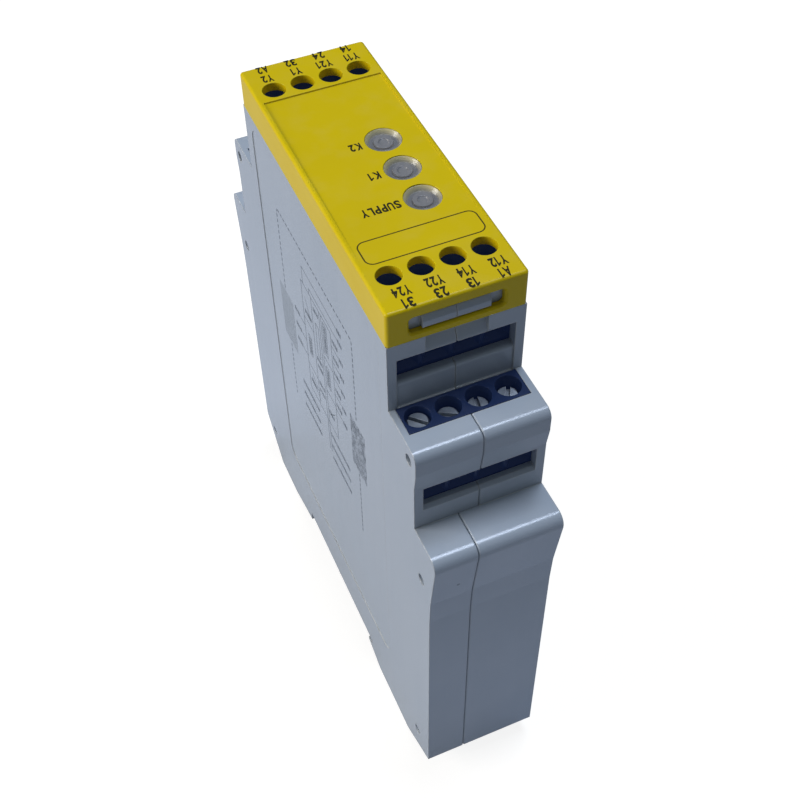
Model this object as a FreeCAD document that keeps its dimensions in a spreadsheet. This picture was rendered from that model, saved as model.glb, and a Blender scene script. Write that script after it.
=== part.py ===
import FreeCAD, Part
import Sketcher
import math
import os
import re

# Safety relay in a narrow stepped housing for a 35 mm rail.
# The frame: X runs across the width, Y along the length, Z up from the rail side to the front.
# The origin is the middle of the plane of the rail-side feet. Near means -Y and far means +Y.
# Left means -X and right means +X. Everything is in millimetres.

doc = FreeCAD.newDocument("SafetyRelay")
sheet = doc.addObject("Spreadsheet::Sheet", "Sizes")

SIZES = (
    ("case_width", 22.3, "width of the closed case"),
    ("side_wall", 1.1, "thickness of the two large side walls"),
    ("end_wall", 1.5, "thickness of the walls at the two ends and of the ledges"),
    ("upper_wall", 1.8, "thickness of the end walls of the top tier"),
    ("front_height", 114.5, "feet to front face"),
    ("seam_gap", 0.08, "visible joint between the two half shells"),
    ("seam_bevel", 0.15, "small bevel along the edges that meet at the seam"),
    ("seam_shift", 3.6, "sideways shift of the lower seam towards the left"),
    ("shoulder_low_half", 48.5, "middle to the lower shoulder, the longest place"),
    ("middle_setback", 7.75, "wall of the second tier behind the lower shoulder"),
    ("middle_half", "=shoulder_low_half - middle_setback", "middle to the wall of the second tier"),
    ("shoulder_high_reach", 0.6, "upper shoulder beyond the wall of the second tier"),
    ("shoulder_high_half", "=middle_half + shoulder_high_reach", "middle to the upper shoulder"),
    ("top_setback", 17.2, "end wall of the top tier behind the lower shoulder"),
    ("top_half", "=shoulder_low_half - top_setback", "middle to end wall of the top tier and cover"),
    ("tier_high", 20.2, "front to the upper ledge"),
    ("ledge_high", "=front_height - tier_high", "height of the upper ledge"),
    ("shoulder_high_round", 1.6, "rounding of the upper shoulder"),
    ("shoulder_high_fall", 4.4, "straight part of the upper shoulder below its ledge"),
    ("shoulder_high_tall", 8.1, "upper ledge to the foot of its shoulder"),
    ("shoulder_high_foot", "=ledge_high - shoulder_high_tall", "height of the foot of the upper shoulder"),
    ("tier_middle", 18.2, "upper ledge to the lower ledge"),
    ("ledge_low", "=ledge_high - tier_middle", "height of the lower ledge"),
    ("shoulder_low_round", 1.9, "rounding of the lower shoulder"),
    ("shoulder_low_drop", 2.4, "straight part of the lower shoulder below its ledge"),
    ("shoulder_low_tall", 13.3, "lower ledge to the crease"),
    ("crease_height", "=ledge_low - shoulder_low_tall", "height of the crease below the lower shoulder"),
    ("crease_setback", 1.55, "end wall at the crease behind the lower shoulder"),
    ("crease_half", "=shoulder_low_half - crease_setback", "middle to the end wall at the crease"),
    ("wall_draft", 0.3, "end wall below the crease behind the crease"),
    ("low_half", "=crease_half - wall_draft", "middle to the end wall near the rail side"),
    ("crease_run", 6.0, "height over which the end wall turns upright below the crease"),
    ("near_bevel_height", 4.9, "height of the cut corner at the near foot"),
    ("near_bevel_length", 10.15, "length of the cut corner at the near foot"),
    ("near_bevel_reach", "=low_half - near_bevel_length", "middle to the near foot's flat"),
    ("far_bevel_height", 9.3, "height of the cut corner at the far foot"),
    ("far_bevel_length", 8.55, "length of the cut corner at the far foot"),
    ("far_bevel_reach", "=low_half - far_bevel_length", "middle to the far foot's flat"),
    ("rail_width", 35.0, "width of the mounting rail"),
    ("rail_play", 0.4, "room at each edge of the rail"),
    ("rail_flange", 1.0, "thickness of the rail's flange"),
    ("flange_play", 0.3, "room under the rail's flange"),
    ("notch_depth", 5.0, "depth of the rail notch above the feet"),
    ("hook_bite", 1.9, "how far a hook reaches under the rail"),
    ("hook_tip", 0.8, "thickness of a hook at its tip"),
    ("near_foot_start", 22.0, "middle to the inner edge of the near foot"),
    ("far_foot_start", 29.0, "middle to the inner edge of the far foot"),
    ("far_foot_rise", 2.6, "height of the far foot's slope at the notch"),
    ("window_side", 1.55, "side face to the side of a wiring window"),
    ("window_half", "=case_width / 2 - window_side", "middle to the side of a wiring window"),
    ("window_high_drop", 9.8, "front to the top of the upper wiring window"),
    ("window_high_top", "=front_height - window_high_drop", "top of the upper wiring window"),
    ("window_high_tall", 5.1, "height of the upper wiring window"),
    ("window_high_sill", "=window_high_top - window_high_tall", "sill of the upper wiring window"),
    ("sill_round", 0.7, "rounding of the upper sill"),
    ("lip_setback", 0.3, "depth of the lip below the upper window behind the side bands"),
    ("window_low_drop", 8.7, "upper ledge to the top of the lower wiring window"),
    ("window_low_top", "=ledge_high - window_low_drop", "top of the lower wiring window"),
    ("window_low_tall", 4.8, "height of the lower wiring window"),
    ("window_low_sill", "=window_low_top - window_low_tall", "sill of the lower wiring window"),
    ("sill_slope", 0.6, "slope cut on the lower sill"),
    ("well_rim", 4.6, "outer edge of the opening in the upper ledge to the upper shoulder"),
    ("well_end", "=shoulder_high_half - well_rim", "middle to the outer edge of that opening"),
    ("pry_half", 5.0, "middle to the side of the pry notch under the cover"),
    ("pry_depth", 0.9, "depth of the pry notch"),
    ("pry_tall", 1.1, "height of the notch's upright part below the cover"),
    ("panel_end", 3.3, "end of the shallow label panel to the top tier's wall"),
    ("panel_half", "=top_half - panel_end", "middle to the end of the shallow label panel"),
    ("panel_drop", 8.4, "front to the top of the label panel"),
    ("panel_top", "=front_height - panel_drop", "top of the label panel"),
    ("panel_base", 16.0, "base of the label panel"),
    ("panel_depth", 0.12, "depth of the label panel"),
    ("panel_round", 3.0, "corner radius of the label panel"),
    ("pin_radius", 1.0, "radius of the locking pins of the shells"),
    ("pin_play", 0.05, "room round a locking pin"),
    ("pin_sunk", 0.5, "depth of a pin's end behind the side face"),
    ("pin_high_in", 2.55, "upper locking pins behind the upper shoulder"),
    ("pin_high_half", "=shoulder_high_half - pin_high_in", "middle to the upper locking pins"),
    ("pin_high_drop", 3.0, "upper ledge to the upper locking pins"),
    ("pin_high", "=ledge_high - pin_high_drop", "height of the upper locking pins"),
    ("pin_middle_in", 5.1, "middle locking pins behind the lower shoulder"),
    ("pin_middle_half", "=shoulder_low_half - pin_middle_in", "middle to the middle locking pins"),
    ("pin_middle_drop", 10.7, "lower ledge to the middle locking pins"),
    ("pin_middle", "=ledge_low - pin_middle_drop", "height of the middle locking pins"),
    ("pin_low_in", 5.15, "lower locking pins behind the end wall"),
    ("pin_low_half", "=low_half - pin_low_in", "middle to the lower locking pins"),
    ("pin_low", 8.2, "height of the lower locking pins"),
    ("cavity_base", 6.6, "height of the floor inside the case"),
    ("rest_reach", 3.0, "reach of the ribs under the terminal blocks"),
    ("rest_thick", 1.5, "thickness of those ribs"),
    ("cover_height", 6.55, "height of the front cover"),
    ("cover_top", 1.5, "thickness of the cover's front"),
    ("cover_wall", 1.1, "thickness of the cover's sides and ends"),
    ("cover_round", 0.5, "rounding of the cover's front edges"),
    ("cover_corner", 0.6, "rounding of the cover's upright corners"),
    ("access_radius", 2.0, "radius of a screwdriver hole in the cover"),
    ("lens_radius", 3.0, "radius of an indicator hole in the cover"),
    ("lens_side", 3.85, "indicators to the right of the middle"),
    ("lens_first", 4.8, "place of the first indicator along the length"),
    ("lens_pitch", 7.6, "distance between indicators"),
    ("field_side", 0.85, "side face to the side of the sunk front field"),
    ("field_half", "=case_width / 2 - field_side", "middle to the side of the sunk front field"),
    ("field_clear", 2.75, "stepped end of the front field to the screws of the upper blocks"),
    ("field_depth", 0.25, "depth of the front field at its stepped end"),
    ("slot_half", 7.5, "middle to the side of the latch slot"),
    ("slot_drop", 2.3, "front to the top of the latch slot"),
    ("slot_top", "=front_height - slot_drop", "top of the latch slot in the cover's end"),
    ("slot_tall", 3.0, "height of the latch slot"),
    ("slot_base", "=slot_top - slot_tall", "base of the latch slot"),
    ("slot_round", 0.7, "corner radius of the latch slot"),
    ("slot_bevel", 0.35, "bevel round the latch slot"),
    ("latch_half", 5.4, "middle to the side of the latch"),
    ("latch_base_gap", 0.4, "base of the latch nose above the base of the slot"),
    ("latch_base", "=slot_base + latch_base_gap", "base of the latch nose"),
    ("latch_top_gap", 0.5, "top of the latch nose below the top of the slot"),
    ("latch_top", "=slot_top - latch_top_gap", "top of the latch nose"),
    ("plate_side", 0.6, "how far the latch plate runs on beside the slot"),
    ("latch_thick", 1.0, "thickness of the latch tongue"),
    ("latch_play", 0.1, "room between tongue and cover"),
    ("latch_nose", 0.95, "reach of the latch nose into the slot"),
    ("poles", 4, "poles of a terminal block"),
    ("axis_high_in", 7.25, "screws of the upper blocks behind the top tier's wall"),
    ("axis_high", "=top_half - axis_high_in", "middle to the screws of the upper blocks"),
    ("axis_low_in", 6.75, "screws of the lower blocks behind the second tier's wall"),
    ("axis_low", "=middle_half - axis_low_in", "middle to the screws of the lower blocks"),
    ("field_end", "=axis_high - field_clear", "middle to the stepped end of the front field"),
    ("block_play", 0.05, "room at each side of a terminal block"),
    ("pitch", "=(case_width - 2 * side_wall - 2 * block_play) / poles", "distance between poles"),
    ("block_face", 5.2, "screw axis to the wiring face of a block"),
    ("block_back", 4.5, "screw axis to the back of a block"),
    ("block_height", 15.0, "height of a block"),
    ("crown_front", 2.65, "screw axis to the front of a block's raised crown"),
    ("crown_back", 2.55, "screw axis to the back of the crown"),
    ("crown_height", 1.75, "height of the crown"),
    ("brow_front", 3.6, "screw axis to the upper part of a block's face"),
    ("brow_height", 7.0, "top of a block to the wiring part of its face"),
    ("well_radius", 2.1, "radius of the well over a screw"),
    ("seat_depth", 3.5, "depth of a screw's seat"),
    ("head_radius", 1.75, "radius of a terminal screw's head"),
    ("head_height", 1.5, "height of the head"),
    ("head_bevel", 0.2, "bevel of the head"),
    ("screw_radius", 1.25, "radius of the screw's shank"),
    ("screw_length", 4.8, "length of the shank"),
    ("drive_slot", 0.7, "width of the screwdriver slot"),
    ("drive_depth", 0.8, "depth of the screwdriver slot"),
    ("bar_drop", 8.4, "top of a block to the top of the contact bar"),
    ("bar_thick", 0.8, "thickness of the contact bar"),
    ("bar_width", 2.1, "width of the contact bar"),
    ("bar_front", 2.4, "screw axis to the front end of the bar"),
    ("bar_tail", 4.0, "reach of the bar's pin behind the block"),
    ("bar_pin", 1.0, "width of the bar's pin"),
    ("bar_play", 0.05, "room round the bar"),
    ("cage_side", 1.3, "distance between two clamp cages"),
    ("cage_width", "=pitch - cage_side", "width of a clamp cage"),
    ("cage_length", 5.0, "length of a clamp cage"),
    ("cage_wall", 0.5, "thickness of the cage's sides"),
    ("cage_roof", 1.2, "thickness of the cage's threaded roof"),
    ("cage_floor", 0.8, "thickness of the cage's floor"),
    ("cage_mouth", 3.8, "height of the cage's mouth"),
    ("cage_play", 0.1, "room round a cage"),
    ("cage_lift", 2.5, "travel of a cage"),
    ("shelf_play", 0.15, "room round the screw in the shelf"),
    ("shelf_depth", "=bar_drop - cage_roof - cage_lift - 2 * cage_play", "top of a block to the hollows"),
    ("thread_play", 0.05, "room between screw and cage"),
    ("mouth_wall", 0.5, "thickness of the wall between two wiring funnels at the face"),
    ("mouth_half", "=cage_width / 2 - cage_wall", "middle of a pole to the side of its wiring mouth"),
    ("funnel", "=pitch / 2 - mouth_wall / 2 - mouth_half", "widening of a wiring mouth at the face"),
    ("board_thick", 1.6, "thickness of the circuit boards"),
    ("board_room", 4.05, "left side wall to the inner face of the main board"),
    ("board_side", "=case_width / 2 - side_wall - board_room", "middle to that face"),
    ("board_in", 4.65, "end of the main board behind the end wall"),
    ("board_low_half", "=low_half - board_in", "middle to the end of the main board, lower part"),
    ("board_base", 13.0, "height of the main board's lower edge"),
    ("board_under", 3.1, "lower ledge to the top of the main board's wide part"),
    ("board_low_top", "=ledge_low - board_under", "height of the main board's wide part"),
    ("board_corner", 4.0, "cut corner of the main board"),
    ("board_over", 0.7, "main board's middle part above the upper ledge"),
    ("board_mid_top", "=ledge_high + board_over", "height of the main board's middle part"),
    ("board_gap", 0.5, "room between main board and the upper headers"),
    ("header_depth", 4.2, "depth of a pin header"),
    ("header_above", 1.4, "height of a header above the contact bar"),
    ("header_below", 1.4, "height of a header below the contact bar"),
    ("header_play", 0.1, "room between block and header"),
    ("header_side", 0.4, "room at each side of a header"),
    ("boss_radius", 1.8, "radius of the bosses that hold the main board"),
    ("boss_in", 4.0, "bosses behind the end of the main board"),
    ("boss_half", "=board_low_half - boss_in", "middle to the bosses"),
    ("boss_low", 20.0, "height of the lower bosses"),
    ("boss_under", 5.0, "upper bosses and relays below the top of the main board's wide part"),
    ("boss_high", "=board_low_top - boss_under", "height of the upper bosses"),
    ("relay_width", 14.0, "width of a relay"),
    ("relay_tall", 50.0, "length of a relay"),
    ("relay_room", 1.05, "room between a relay and the right side wall"),
    ("relay_deep", "=case_width / 2 - side_wall - relay_room + board_side", "height of a relay"),
    ("relay_gap", 4.0, "middle to a relay"),
    ("relay_base", "=boss_high - relay_tall", "height of the relays' lower end"),
    ("relay_bevel", 0.8, "bevel of a relay's cap"),
    ("can_radius", 6.0, "radius of the smoothing capacitor"),
    ("can_length", 20.0, "length of the capacitor"),
    ("can_in", 12.0, "capacitor behind the end of the main board"),
    ("can_half", "=board_low_half - can_in", "middle to the capacitor"),
    ("can_lift", 16.0, "lower end of the capacitor above that of the relays"),
    ("can_base", "=relay_base + can_lift", "height of the capacitor's lower end"),
    ("can_bevel", 0.5, "bevel of the capacitor's can"),
    ("display_end_play", 0.25, "room between the display board and the blocks"),
    ("display_side_play", 0.65, "room between the display board and the side walls"),
    ("display_side", "=case_width / 2 - side_wall - display_side_play", "middle to the side of that board"),
    ("led_radius", 1.5, "radius of a light-emitting diode"),
    ("led_height", 4.4, "height of a light-emitting diode"),
    ("led_dome", 1.35, "rounding of a diode's top"),
    ("led_collar", 1.9, "radius of the diode's collar"),
    ("led_collar_height", 0.9, "height of the diode's collar"),
    ("lens_play", 0.05, "room round a lens"),
    ("lens_flange", 0.8, "extra radius of a lens's flange"),
    ("lens_flange_height", 0.6, "height of a lens's flange"),
    ("lens_sunk", 0.25, "depth of a lens's rim below the front"),
    ("lens_dish", 0.95, "depth of a lens's dish below the front"),
    ("lens_dish_radius", 2.35, "radius of the dish's floor"),
    ("lens_boss", 0.35, "height of the boss in the dish"),
    ("lens_boss_radius", 1.55, "radius of the boss in the dish"),
    ("lens_ring_radius", 0.9, "radius of the small dimple in the boss"),
    ("lens_ring_depth", 0.15, "depth of that dimple"),
    ("foot_half", 4.8, "middle to the side of the rail latch"),
    ("foot_top", 4.4, "height of the rail latch's top"),
    ("foot_base", 0.8, "height of the rail latch's underside"),
    ("foot_lead", 20.0, "middle to the end of the latch hook's sloping underside"),
    ("foot_play", 0.2, "room round the rail latch"),
    ("foot_rib", 0.8, "width of the latch's guide ribs"),
    ("foot_rib_base", 2.4, "height of the guide ribs"),
    ("foot_rib_thick", 0.9, "thickness of the guide ribs"),
    ("foot_travel", 3.0, "travel of the rail latch"),
    ("foot_stop_play", 0.2, "room left at the stop post at full travel"),
    ("foot_window_half", 3.4, "middle to the side of the latch's spring window"),
    ("foot_window_end", 34.0, "middle to the outer end of the spring window"),
    ("post_start", 22.6, "middle to the stop post"),
    ("post_thick", 1.4, "thickness of the stop post"),
    ("post_half", 2.6, "middle to the side of the stop post"),
    ("post_base", 1.4, "height of the stop post's lower end"),
    ("spring_legs", 6, "legs of the moulded spring"),
    ("spring_wall", 0.7, "thickness of the moulded spring"),
    ("spring_half", 2.7, "middle to the side of the moulded spring"),
    ("spring_play", 0.3, "room between the spring and the stop post"),
    ("tool_slot_half", 2.2, "middle to the side of the screwdriver slot in the latch"),
    ("tool_slot_deep", 1.6, "length of that slot"),
    ("tool_slot_rim", 1.4, "material outside that slot"),
    ("loose_lift", 1.0, "height of the one screw that stands loose"),
    ("cut_skin", 0.3, "overrun of cuts that stop inside the same piece"),
    ("cut_clear", 5.0, "overrun of cuts that go right through"),
)

for row, (alias, value, note) in enumerate(SIZES, start=1):
    sheet.set(f"A{row}", note)
    sheet.set(f"B{row}", str(value))
    sheet.setAlias(f"B{row}", alias)
doc.recompute()

ALIASES = {alias for alias, value, note in SIZES}
ORIGIN_POINT = (-1, 1)
AXIS = FreeCAD.Vector(0, 0, 1)
parts = []


def bound(text):
    """Point each word that names a size at its cell in the sheet."""
    def cell(found):
        word = found.group()
        return "Sizes." + word if word in ALIASES else word
    return re.sub(r"[a-z][a-z_0-9]*", cell, str(text))


def new_body(label, x="0", y="0", z="0", turned=False, spin=0.0):
    """A body at its place, turned half round for the far end, or spun by some degrees."""
    body = doc.addObject("PartDesign::Body", label)
    body.Label = label
    angle = 180.0 if turned else spin
    body.Placement = FreeCAD.Placement(FreeCAD.Vector(), FreeCAD.Rotation(AXIS, angle))
    for name, text in (("x", x), ("y", y), ("z", z)):
        body.setExpression("Placement.Base." + name, bound(text))
    parts.append(body)
    return body


def new_sketch(body, role, offset="0"):
    """A sketch on one of the body's own planes, moved along the plane's normal.

    The normals are +Z for XY_Plane, +X for YZ_Plane and -Y for XZ_Plane.
    """
    sketch = body.newObject("Sketcher::SketchObject", body.Label + "_sketch")
    flat = next(item for item in body.Origin.OriginFeatures if item.Role == role)
    sketch.AttachmentSupport = (flat, [""])
    sketch.MapMode = "FlatFace"
    sketch.setExpression("AttachmentOffset.Base.z", bound(offset))
    return sketch


def hold(sketch, element, end, across, up):
    """Fix a point of the sketch by its two distances from the origin."""
    for kind, text in (("DistanceX", across), ("DistanceY", up)):
        number = sketch.addConstraint(Sketcher.Constraint(kind, *ORIGIN_POINT, element, end, 1.0))
        sketch.setExpression(f"Constraints[{number}]", bound(text))


def polygon(sketch, corners):
    """A closed outline of straight lines; every corner is a pair of expressions."""
    first = sketch.GeometryCount
    count = len(corners)
    start = [
        FreeCAD.Vector(math.cos(2 * math.pi * k / count), math.sin(2 * math.pi * k / count), 0)
        for k in range(count)
    ]
    for k in range(count):
        sketch.addGeometry(Part.LineSegment(start[k], start[(k + 1) % count]))
    for k in range(count):
        following = first + (k + 1) % count
        sketch.addConstraint(Sketcher.Constraint("Coincident", first + k, 2, following, 1))
    for k, (across, up) in enumerate(corners):
        hold(sketch, first + k, 1, across, up)


def rectangle(sketch, left, right, low, high):
    """A closed rectangle between four expressions."""
    polygon(sketch, [(left, low), (right, low), (right, high), (left, high)])


def circle(sketch, across, up, radius):
    """A circle with its centre and radius given by expressions."""
    number = sketch.addGeometry(Part.Circle(FreeCAD.Vector(), AXIS, 1.0))
    hold(sketch, number, 3, across, up)
    reach = sketch.addConstraint(Sketcher.Constraint("Radius", number, 1.0))
    sketch.setExpression(f"Constraints[{reach}]", bound(radius))


def pad(body, sketch, length, reverse=False, both=False):
    """Material along the sketch's normal."""
    feature = body.newObject("PartDesign::Pad", body.Label + "_pad")
    feature.Profile = sketch
    feature.SideType = "Symmetric" if both else "One side"
    feature.Reversed = reverse
    feature.setExpression("Length", bound(length))
    sketch.Visibility = False
    return feature


def pocket(body, sketch, length, reverse=False, both=False):
    """A cut against the sketch's normal, or along it when reversed."""
    feature = body.newObject("PartDesign::Pocket", body.Label + "_pocket")
    feature.Profile = sketch
    feature.SideType = "Symmetric" if both else "One side"
    feature.Reversed = reverse
    feature.setExpression("Length", bound(length))
    return feature


def revolve(body, corners):
    """A turned piece about its own upright axis; corners are radius and height."""
    sketch = new_sketch(body, "XZ_Plane")
    polygon(sketch, corners)
    feature = body.newObject("PartDesign::Revolution", body.Label + "_turned")
    feature.Profile = sketch
    feature.ReferenceAxis = (sketch, ["V_Axis"])
    feature.Angle = 360.0
    return feature


def edges_where(shape, test):
    """Names of the edges whose two ends and middle all pass the test."""
    names = []
    for number, edge in enumerate(shape.Edges, start=1):
        middle = edge.valueAt((edge.FirstParameter + edge.LastParameter) / 2)
        points = [vertex.Point for vertex in edge.Vertexes] + [middle]
        if all(test(point) for point in points):
            names.append(f"Edge{number}")
    return names


def near_to(value, target):
    return abs(value - target) < 0.01


def size(name):
    """The present value of a size, for picking edges by their place."""
    return float(getattr(sheet, name))


def round_edges(body, test, radius, bevel=False):
    """Round or bevel the edges of the body's present tip that pass the test."""
    doc.recompute()
    base = body.Tip
    names = edges_where(base.Shape, test)
    if not names:
        raise RuntimeError("no edge found on " + body.Label)
    kind = "PartDesign::Chamfer" if bevel else "PartDesign::Fillet"
    feature = body.newObject(kind, body.Label + ("_bevel" if bevel else "_round"))
    feature.Base = (base, names)
    feature.setExpression("Size" if bevel else "Radius", bound(radius))
    return feature


# Outline of the case, seen from the side

COVER_BASE = "front_height - cover_height"
HOOK_TOP = "notch_depth - rail_flange - flange_play"
NOTCH_HALF = "rail_width / 2 + rail_play"
HOOK_HALF = "rail_width / 2 + rail_play - hook_bite"
INNER_SIDE = "case_width / 2 - side_wall"
BLOCK_TOP_HIGH = "front_height - cover_top"


def end_steps(sign):
    """Corners of one end, from the crease up to the cover; sign is - or nothing."""
    return [
        (sign + "(crease_half)", "crease_height"),
        (sign + "(shoulder_low_half)", "ledge_low - shoulder_low_drop"),
        (sign + "(shoulder_low_half)", "ledge_low"),
        (sign + "(middle_half)", "ledge_low"),
        (sign + "(middle_half)", "shoulder_high_foot"),
        (sign + "(shoulder_high_half)", "ledge_high - shoulder_high_fall"),
        (sign + "(shoulder_high_half)", "ledge_high"),
        (sign + "(top_half)", "ledge_high"),
        (sign + "(top_half)", COVER_BASE),
    ]


def near_foot():
    """Corners of the near foot, with the fixed rail hook, up to the end wall."""
    return [
        ("-(" + HOOK_HALF + ")", HOOK_TOP + " - hook_tip"),
        ("-near_foot_start", "0"),
        ("-near_bevel_reach", "0"),
        ("-low_half", "near_bevel_height"),
        ("-low_half", "crease_height - crease_run"),
    ]


def far_foot():
    """Corners from the far end wall down round the far foot and along the rail notch."""
    return [
        ("low_half", "crease_height - crease_run"),
        ("low_half", "far_bevel_height"),
        ("far_bevel_reach", "0"),
        ("far_foot_start", "0"),
        (NOTCH_HALF, "far_foot_rise"),
        (NOTCH_HALF, "notch_depth"),
        ("-(" + NOTCH_HALF + ")", "notch_depth"),
        ("-(" + NOTCH_HALF + ")", HOOK_TOP),
        ("-(" + HOOK_HALF + ")", HOOK_TOP),
    ]


def whole_outline():
    """The full side outline, from the near foot over the front to the rail notch."""
    return near_foot() + end_steps("-") + end_steps("")[::-1] + far_foot()


def lower_outline():
    """The side outline below the lower ledge, where the seam is shifted to the left."""
    return near_foot() + end_steps("-")[:4] + end_steps("")[:4][::-1] + far_foot()


def upper_outline():
    """The side outline above the lower ledge, where the seam lies in the middle."""
    return end_steps("-")[3:] + end_steps("")[3:][::-1]


def cavity_outline():
    """The hollow of the case, one wall inside the outline."""
    inner_low = "low_half - end_wall"
    ends = []
    for sign, foot in (("-", "near"), ("", "far")):
        ends.append([
            (sign + "(" + foot + "_bevel_reach - end_wall)", "cavity_base"),
            (sign + "(" + inner_low + ")", foot + "_bevel_height + cavity_base / 2 + end_wall"),
            (sign + "(" + inner_low + ")", "crease_height - crease_run"),
            (sign + "(crease_half - end_wall)", "crease_height"),
            (sign + "(shoulder_low_half - end_wall)", "ledge_low - shoulder_low_drop"),
            (sign + "(shoulder_low_half - end_wall)", "ledge_low - end_wall"),
            (sign + "(middle_half - end_wall)", "ledge_low - end_wall"),
            (sign + "(middle_half - end_wall)", "shoulder_high_foot"),
            (sign + "(shoulder_high_half - end_wall)", "ledge_high - shoulder_high_fall"),
            (sign + "(shoulder_high_half - end_wall)", "ledge_high - end_wall"),
            (sign + "(top_half - upper_wall)", "ledge_high - end_wall"),
            (sign + "(top_half - upper_wall)", COVER_BASE + " + cut_clear"),
        ])
    return ends[0] + ends[1][::-1]


# The two half shells of the case


def shell_pads(body, left):
    """Half of the case as a solid: the whole outline, and the stretch where the seam steps."""
    outer_face = "-case_width / 2" if left else "case_width / 2"
    middle_seam = "case_width / 2 - seam_gap / 2"
    if left:
        layers = ((whole_outline(), middle_seam + " - seam_shift"), (upper_outline(), middle_seam))
    else:
        layers = ((whole_outline(), middle_seam), (lower_outline(), middle_seam + " + seam_shift"))
    for outline, length in layers:
        sketch = new_sketch(body, "YZ_Plane", outer_face)
        polygon(sketch, outline)
        pad(body, sketch, length, reverse=not left)


def corner_test(half, height):
    """Edges across the width at one corner of the outline, at both ends."""
    def test(point):
        return near_to(abs(point.y), size(half)) and near_to(point.z, size(height))
    return test


def seam_test(left):
    """Outer edges of the faces where the two shells meet."""
    side = -1 if left else 1
    middle = side * size("seam_gap") / 2
    shifted = middle - size("seam_shift")
    step = size("ledge_low")
    wall = size("middle_half")

    def test(point):
        outside = abs(point.y) > wall - 0.01
        if near_to(point.x, shifted):
            return point.z < step - 0.01 or (outside and point.z < step + 0.01)
        return near_to(point.x, middle) and (point.z > step + 0.01 or outside)
    return test


def cut_openings(body):
    """Wiring windows, terminal openings, lips and pry notches of both ends."""
    windows = new_sketch(body, "XZ_Plane")
    rectangle(windows, "-window_half", "window_half", "window_high_sill", "window_high_top")
    rectangle(windows, "-window_half", "window_half", "window_low_sill", "window_low_top")
    pocket(body, windows, "2 * (shoulder_low_half + cut_clear)", both=True)
    wells = new_sketch(body, "XY_Plane", "ledge_high")
    rectangle(wells, "-(" + INNER_SIDE + ")", INNER_SIDE, "top_half", "well_end")
    rectangle(wells, "-(" + INNER_SIDE + ")", INNER_SIDE, "-well_end", "-top_half")
    pocket(body, wells, "end_wall + cut_skin")
    for near in (True, False):
        face = "top_half" if near else "-top_half"
        lip = new_sketch(body, "XZ_Plane", face)
        rectangle(lip, "-window_half", "window_half", "ledge_high", "window_high_sill")
        pocket(body, lip, "lip_setback", reverse=not near)
    pries = new_sketch(body, "YZ_Plane")
    for sign in ("-", ""):
        polygon(pries, [
            (sign + "(top_half)", "window_high_top"),
            (sign + "(top_half - pry_depth)", COVER_BASE + " - pry_tall"),
            (sign + "(top_half - pry_depth)", COVER_BASE),
            (sign + "(top_half)", COVER_BASE),
        ])
    pocket(body, pries, "2 * pry_half", both=True)


def sill_test(point):
    """Outer edges of the upper sills."""
    face = size("top_half") - size("lip_setback")
    return near_to(abs(point.y), face) and near_to(point.z, size("window_high_sill"))


def low_sill_test(point):
    """Outer edges of the lower sills."""
    at_sill = near_to(point.z, size("window_low_sill")) and abs(point.x) < size("window_half") + 0.01
    return near_to(abs(point.y), size("middle_half")) and at_sill


def add_rests(body, left):
    """Ribs on the side wall that carry the terminal blocks."""
    inner_face = "-(" + INNER_SIDE + ")" if left else INNER_SIDE
    ribs = new_sketch(body, "YZ_Plane", inner_face)
    levels = (
        ("axis_high - block_back", "top_half - upper_wall", BLOCK_TOP_HIGH),
        ("axis_low - block_back", "middle_half - end_wall", "ledge_high"),
    )
    for back, front, top in levels:
        low = top + " - block_height - rest_thick"
        high = top + " - block_height"
        rectangle(ribs, back, front, low, high)
        rectangle(ribs, "-(" + front + ")", "-(" + back + ")", low, high)
    pad(body, ribs, "rest_reach", reverse=not left)


def add_latches(body, left):
    """A plate behind the cover's slot at both ends, and on it the nose that holds the cover."""
    inner = "top_half - cover_wall - latch_play - latch_thick"
    outer = "top_half - cover_wall - latch_play"
    root = BLOCK_TOP_HIGH + " - brow_height + latch_play"
    for sign in ("-", ""):
        plate_side = "slot_half + plate_side"
        plate = new_sketch(body, "YZ_Plane", "-(" + plate_side + ")" if left else plate_side)
        polygon(plate, [
            (sign + "(" + inner + ")", root),
            (sign + "(" + outer + ")", root),
            (sign + "(" + outer + ")", "slot_top + latch_play"),
            (sign + "(" + inner + ")", "slot_top + latch_play"),
        ])
        pad(body, plate, plate_side + " - seam_gap / 2", reverse=not left)
        nose = new_sketch(body, "YZ_Plane", "-latch_half" if left else "latch_half")
        polygon(nose, [
            (sign + "(" + inner + ")", "latch_base"),
            (sign + "(" + outer + " + latch_nose)", "latch_base"),
            (sign + "(" + outer + " + latch_nose)", "(latch_base + latch_top) / 2"),
            (sign + "(" + outer + " + latch_nose / 2)", "latch_top"),
            (sign + "(" + inner + ")", "latch_top"),
        ])
        pad(body, nose, "latch_half - seam_gap / 2", reverse=not left)


def cut_latch_channel(body):
    """The channel of the rail latch with its guide grooves, open at the rail and the far corner."""
    for half, low, tall in (
        ("foot_half + foot_play", "0", "foot_top + foot_play"),
        ("foot_half + foot_rib + foot_play", "foot_rib_base - foot_play", "foot_rib_thick + 2 * foot_play"),
    ):
        channel = new_sketch(body, "XY_Plane", low)
        rectangle(channel, "-(" + half + ")", half, "rail_width / 2", "low_half + cut_clear")
        pocket(body, channel, tall, reverse=True)


def pin_places():
    """Places of the locking pins on the side face."""
    return [
        (sign + half, height)
        for half, height in (
            ("pin_high_half", "pin_high"),
            ("pin_middle_half", "pin_middle"),
            ("pin_low_half", "pin_low"),
        )
        for sign in ("-", "")
    ]


def boss_places():
    """Places of the bosses that hold the main board."""
    return [(sign + "boss_half", height) for height in ("boss_low", "boss_high") for sign in ("-", "")]


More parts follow.
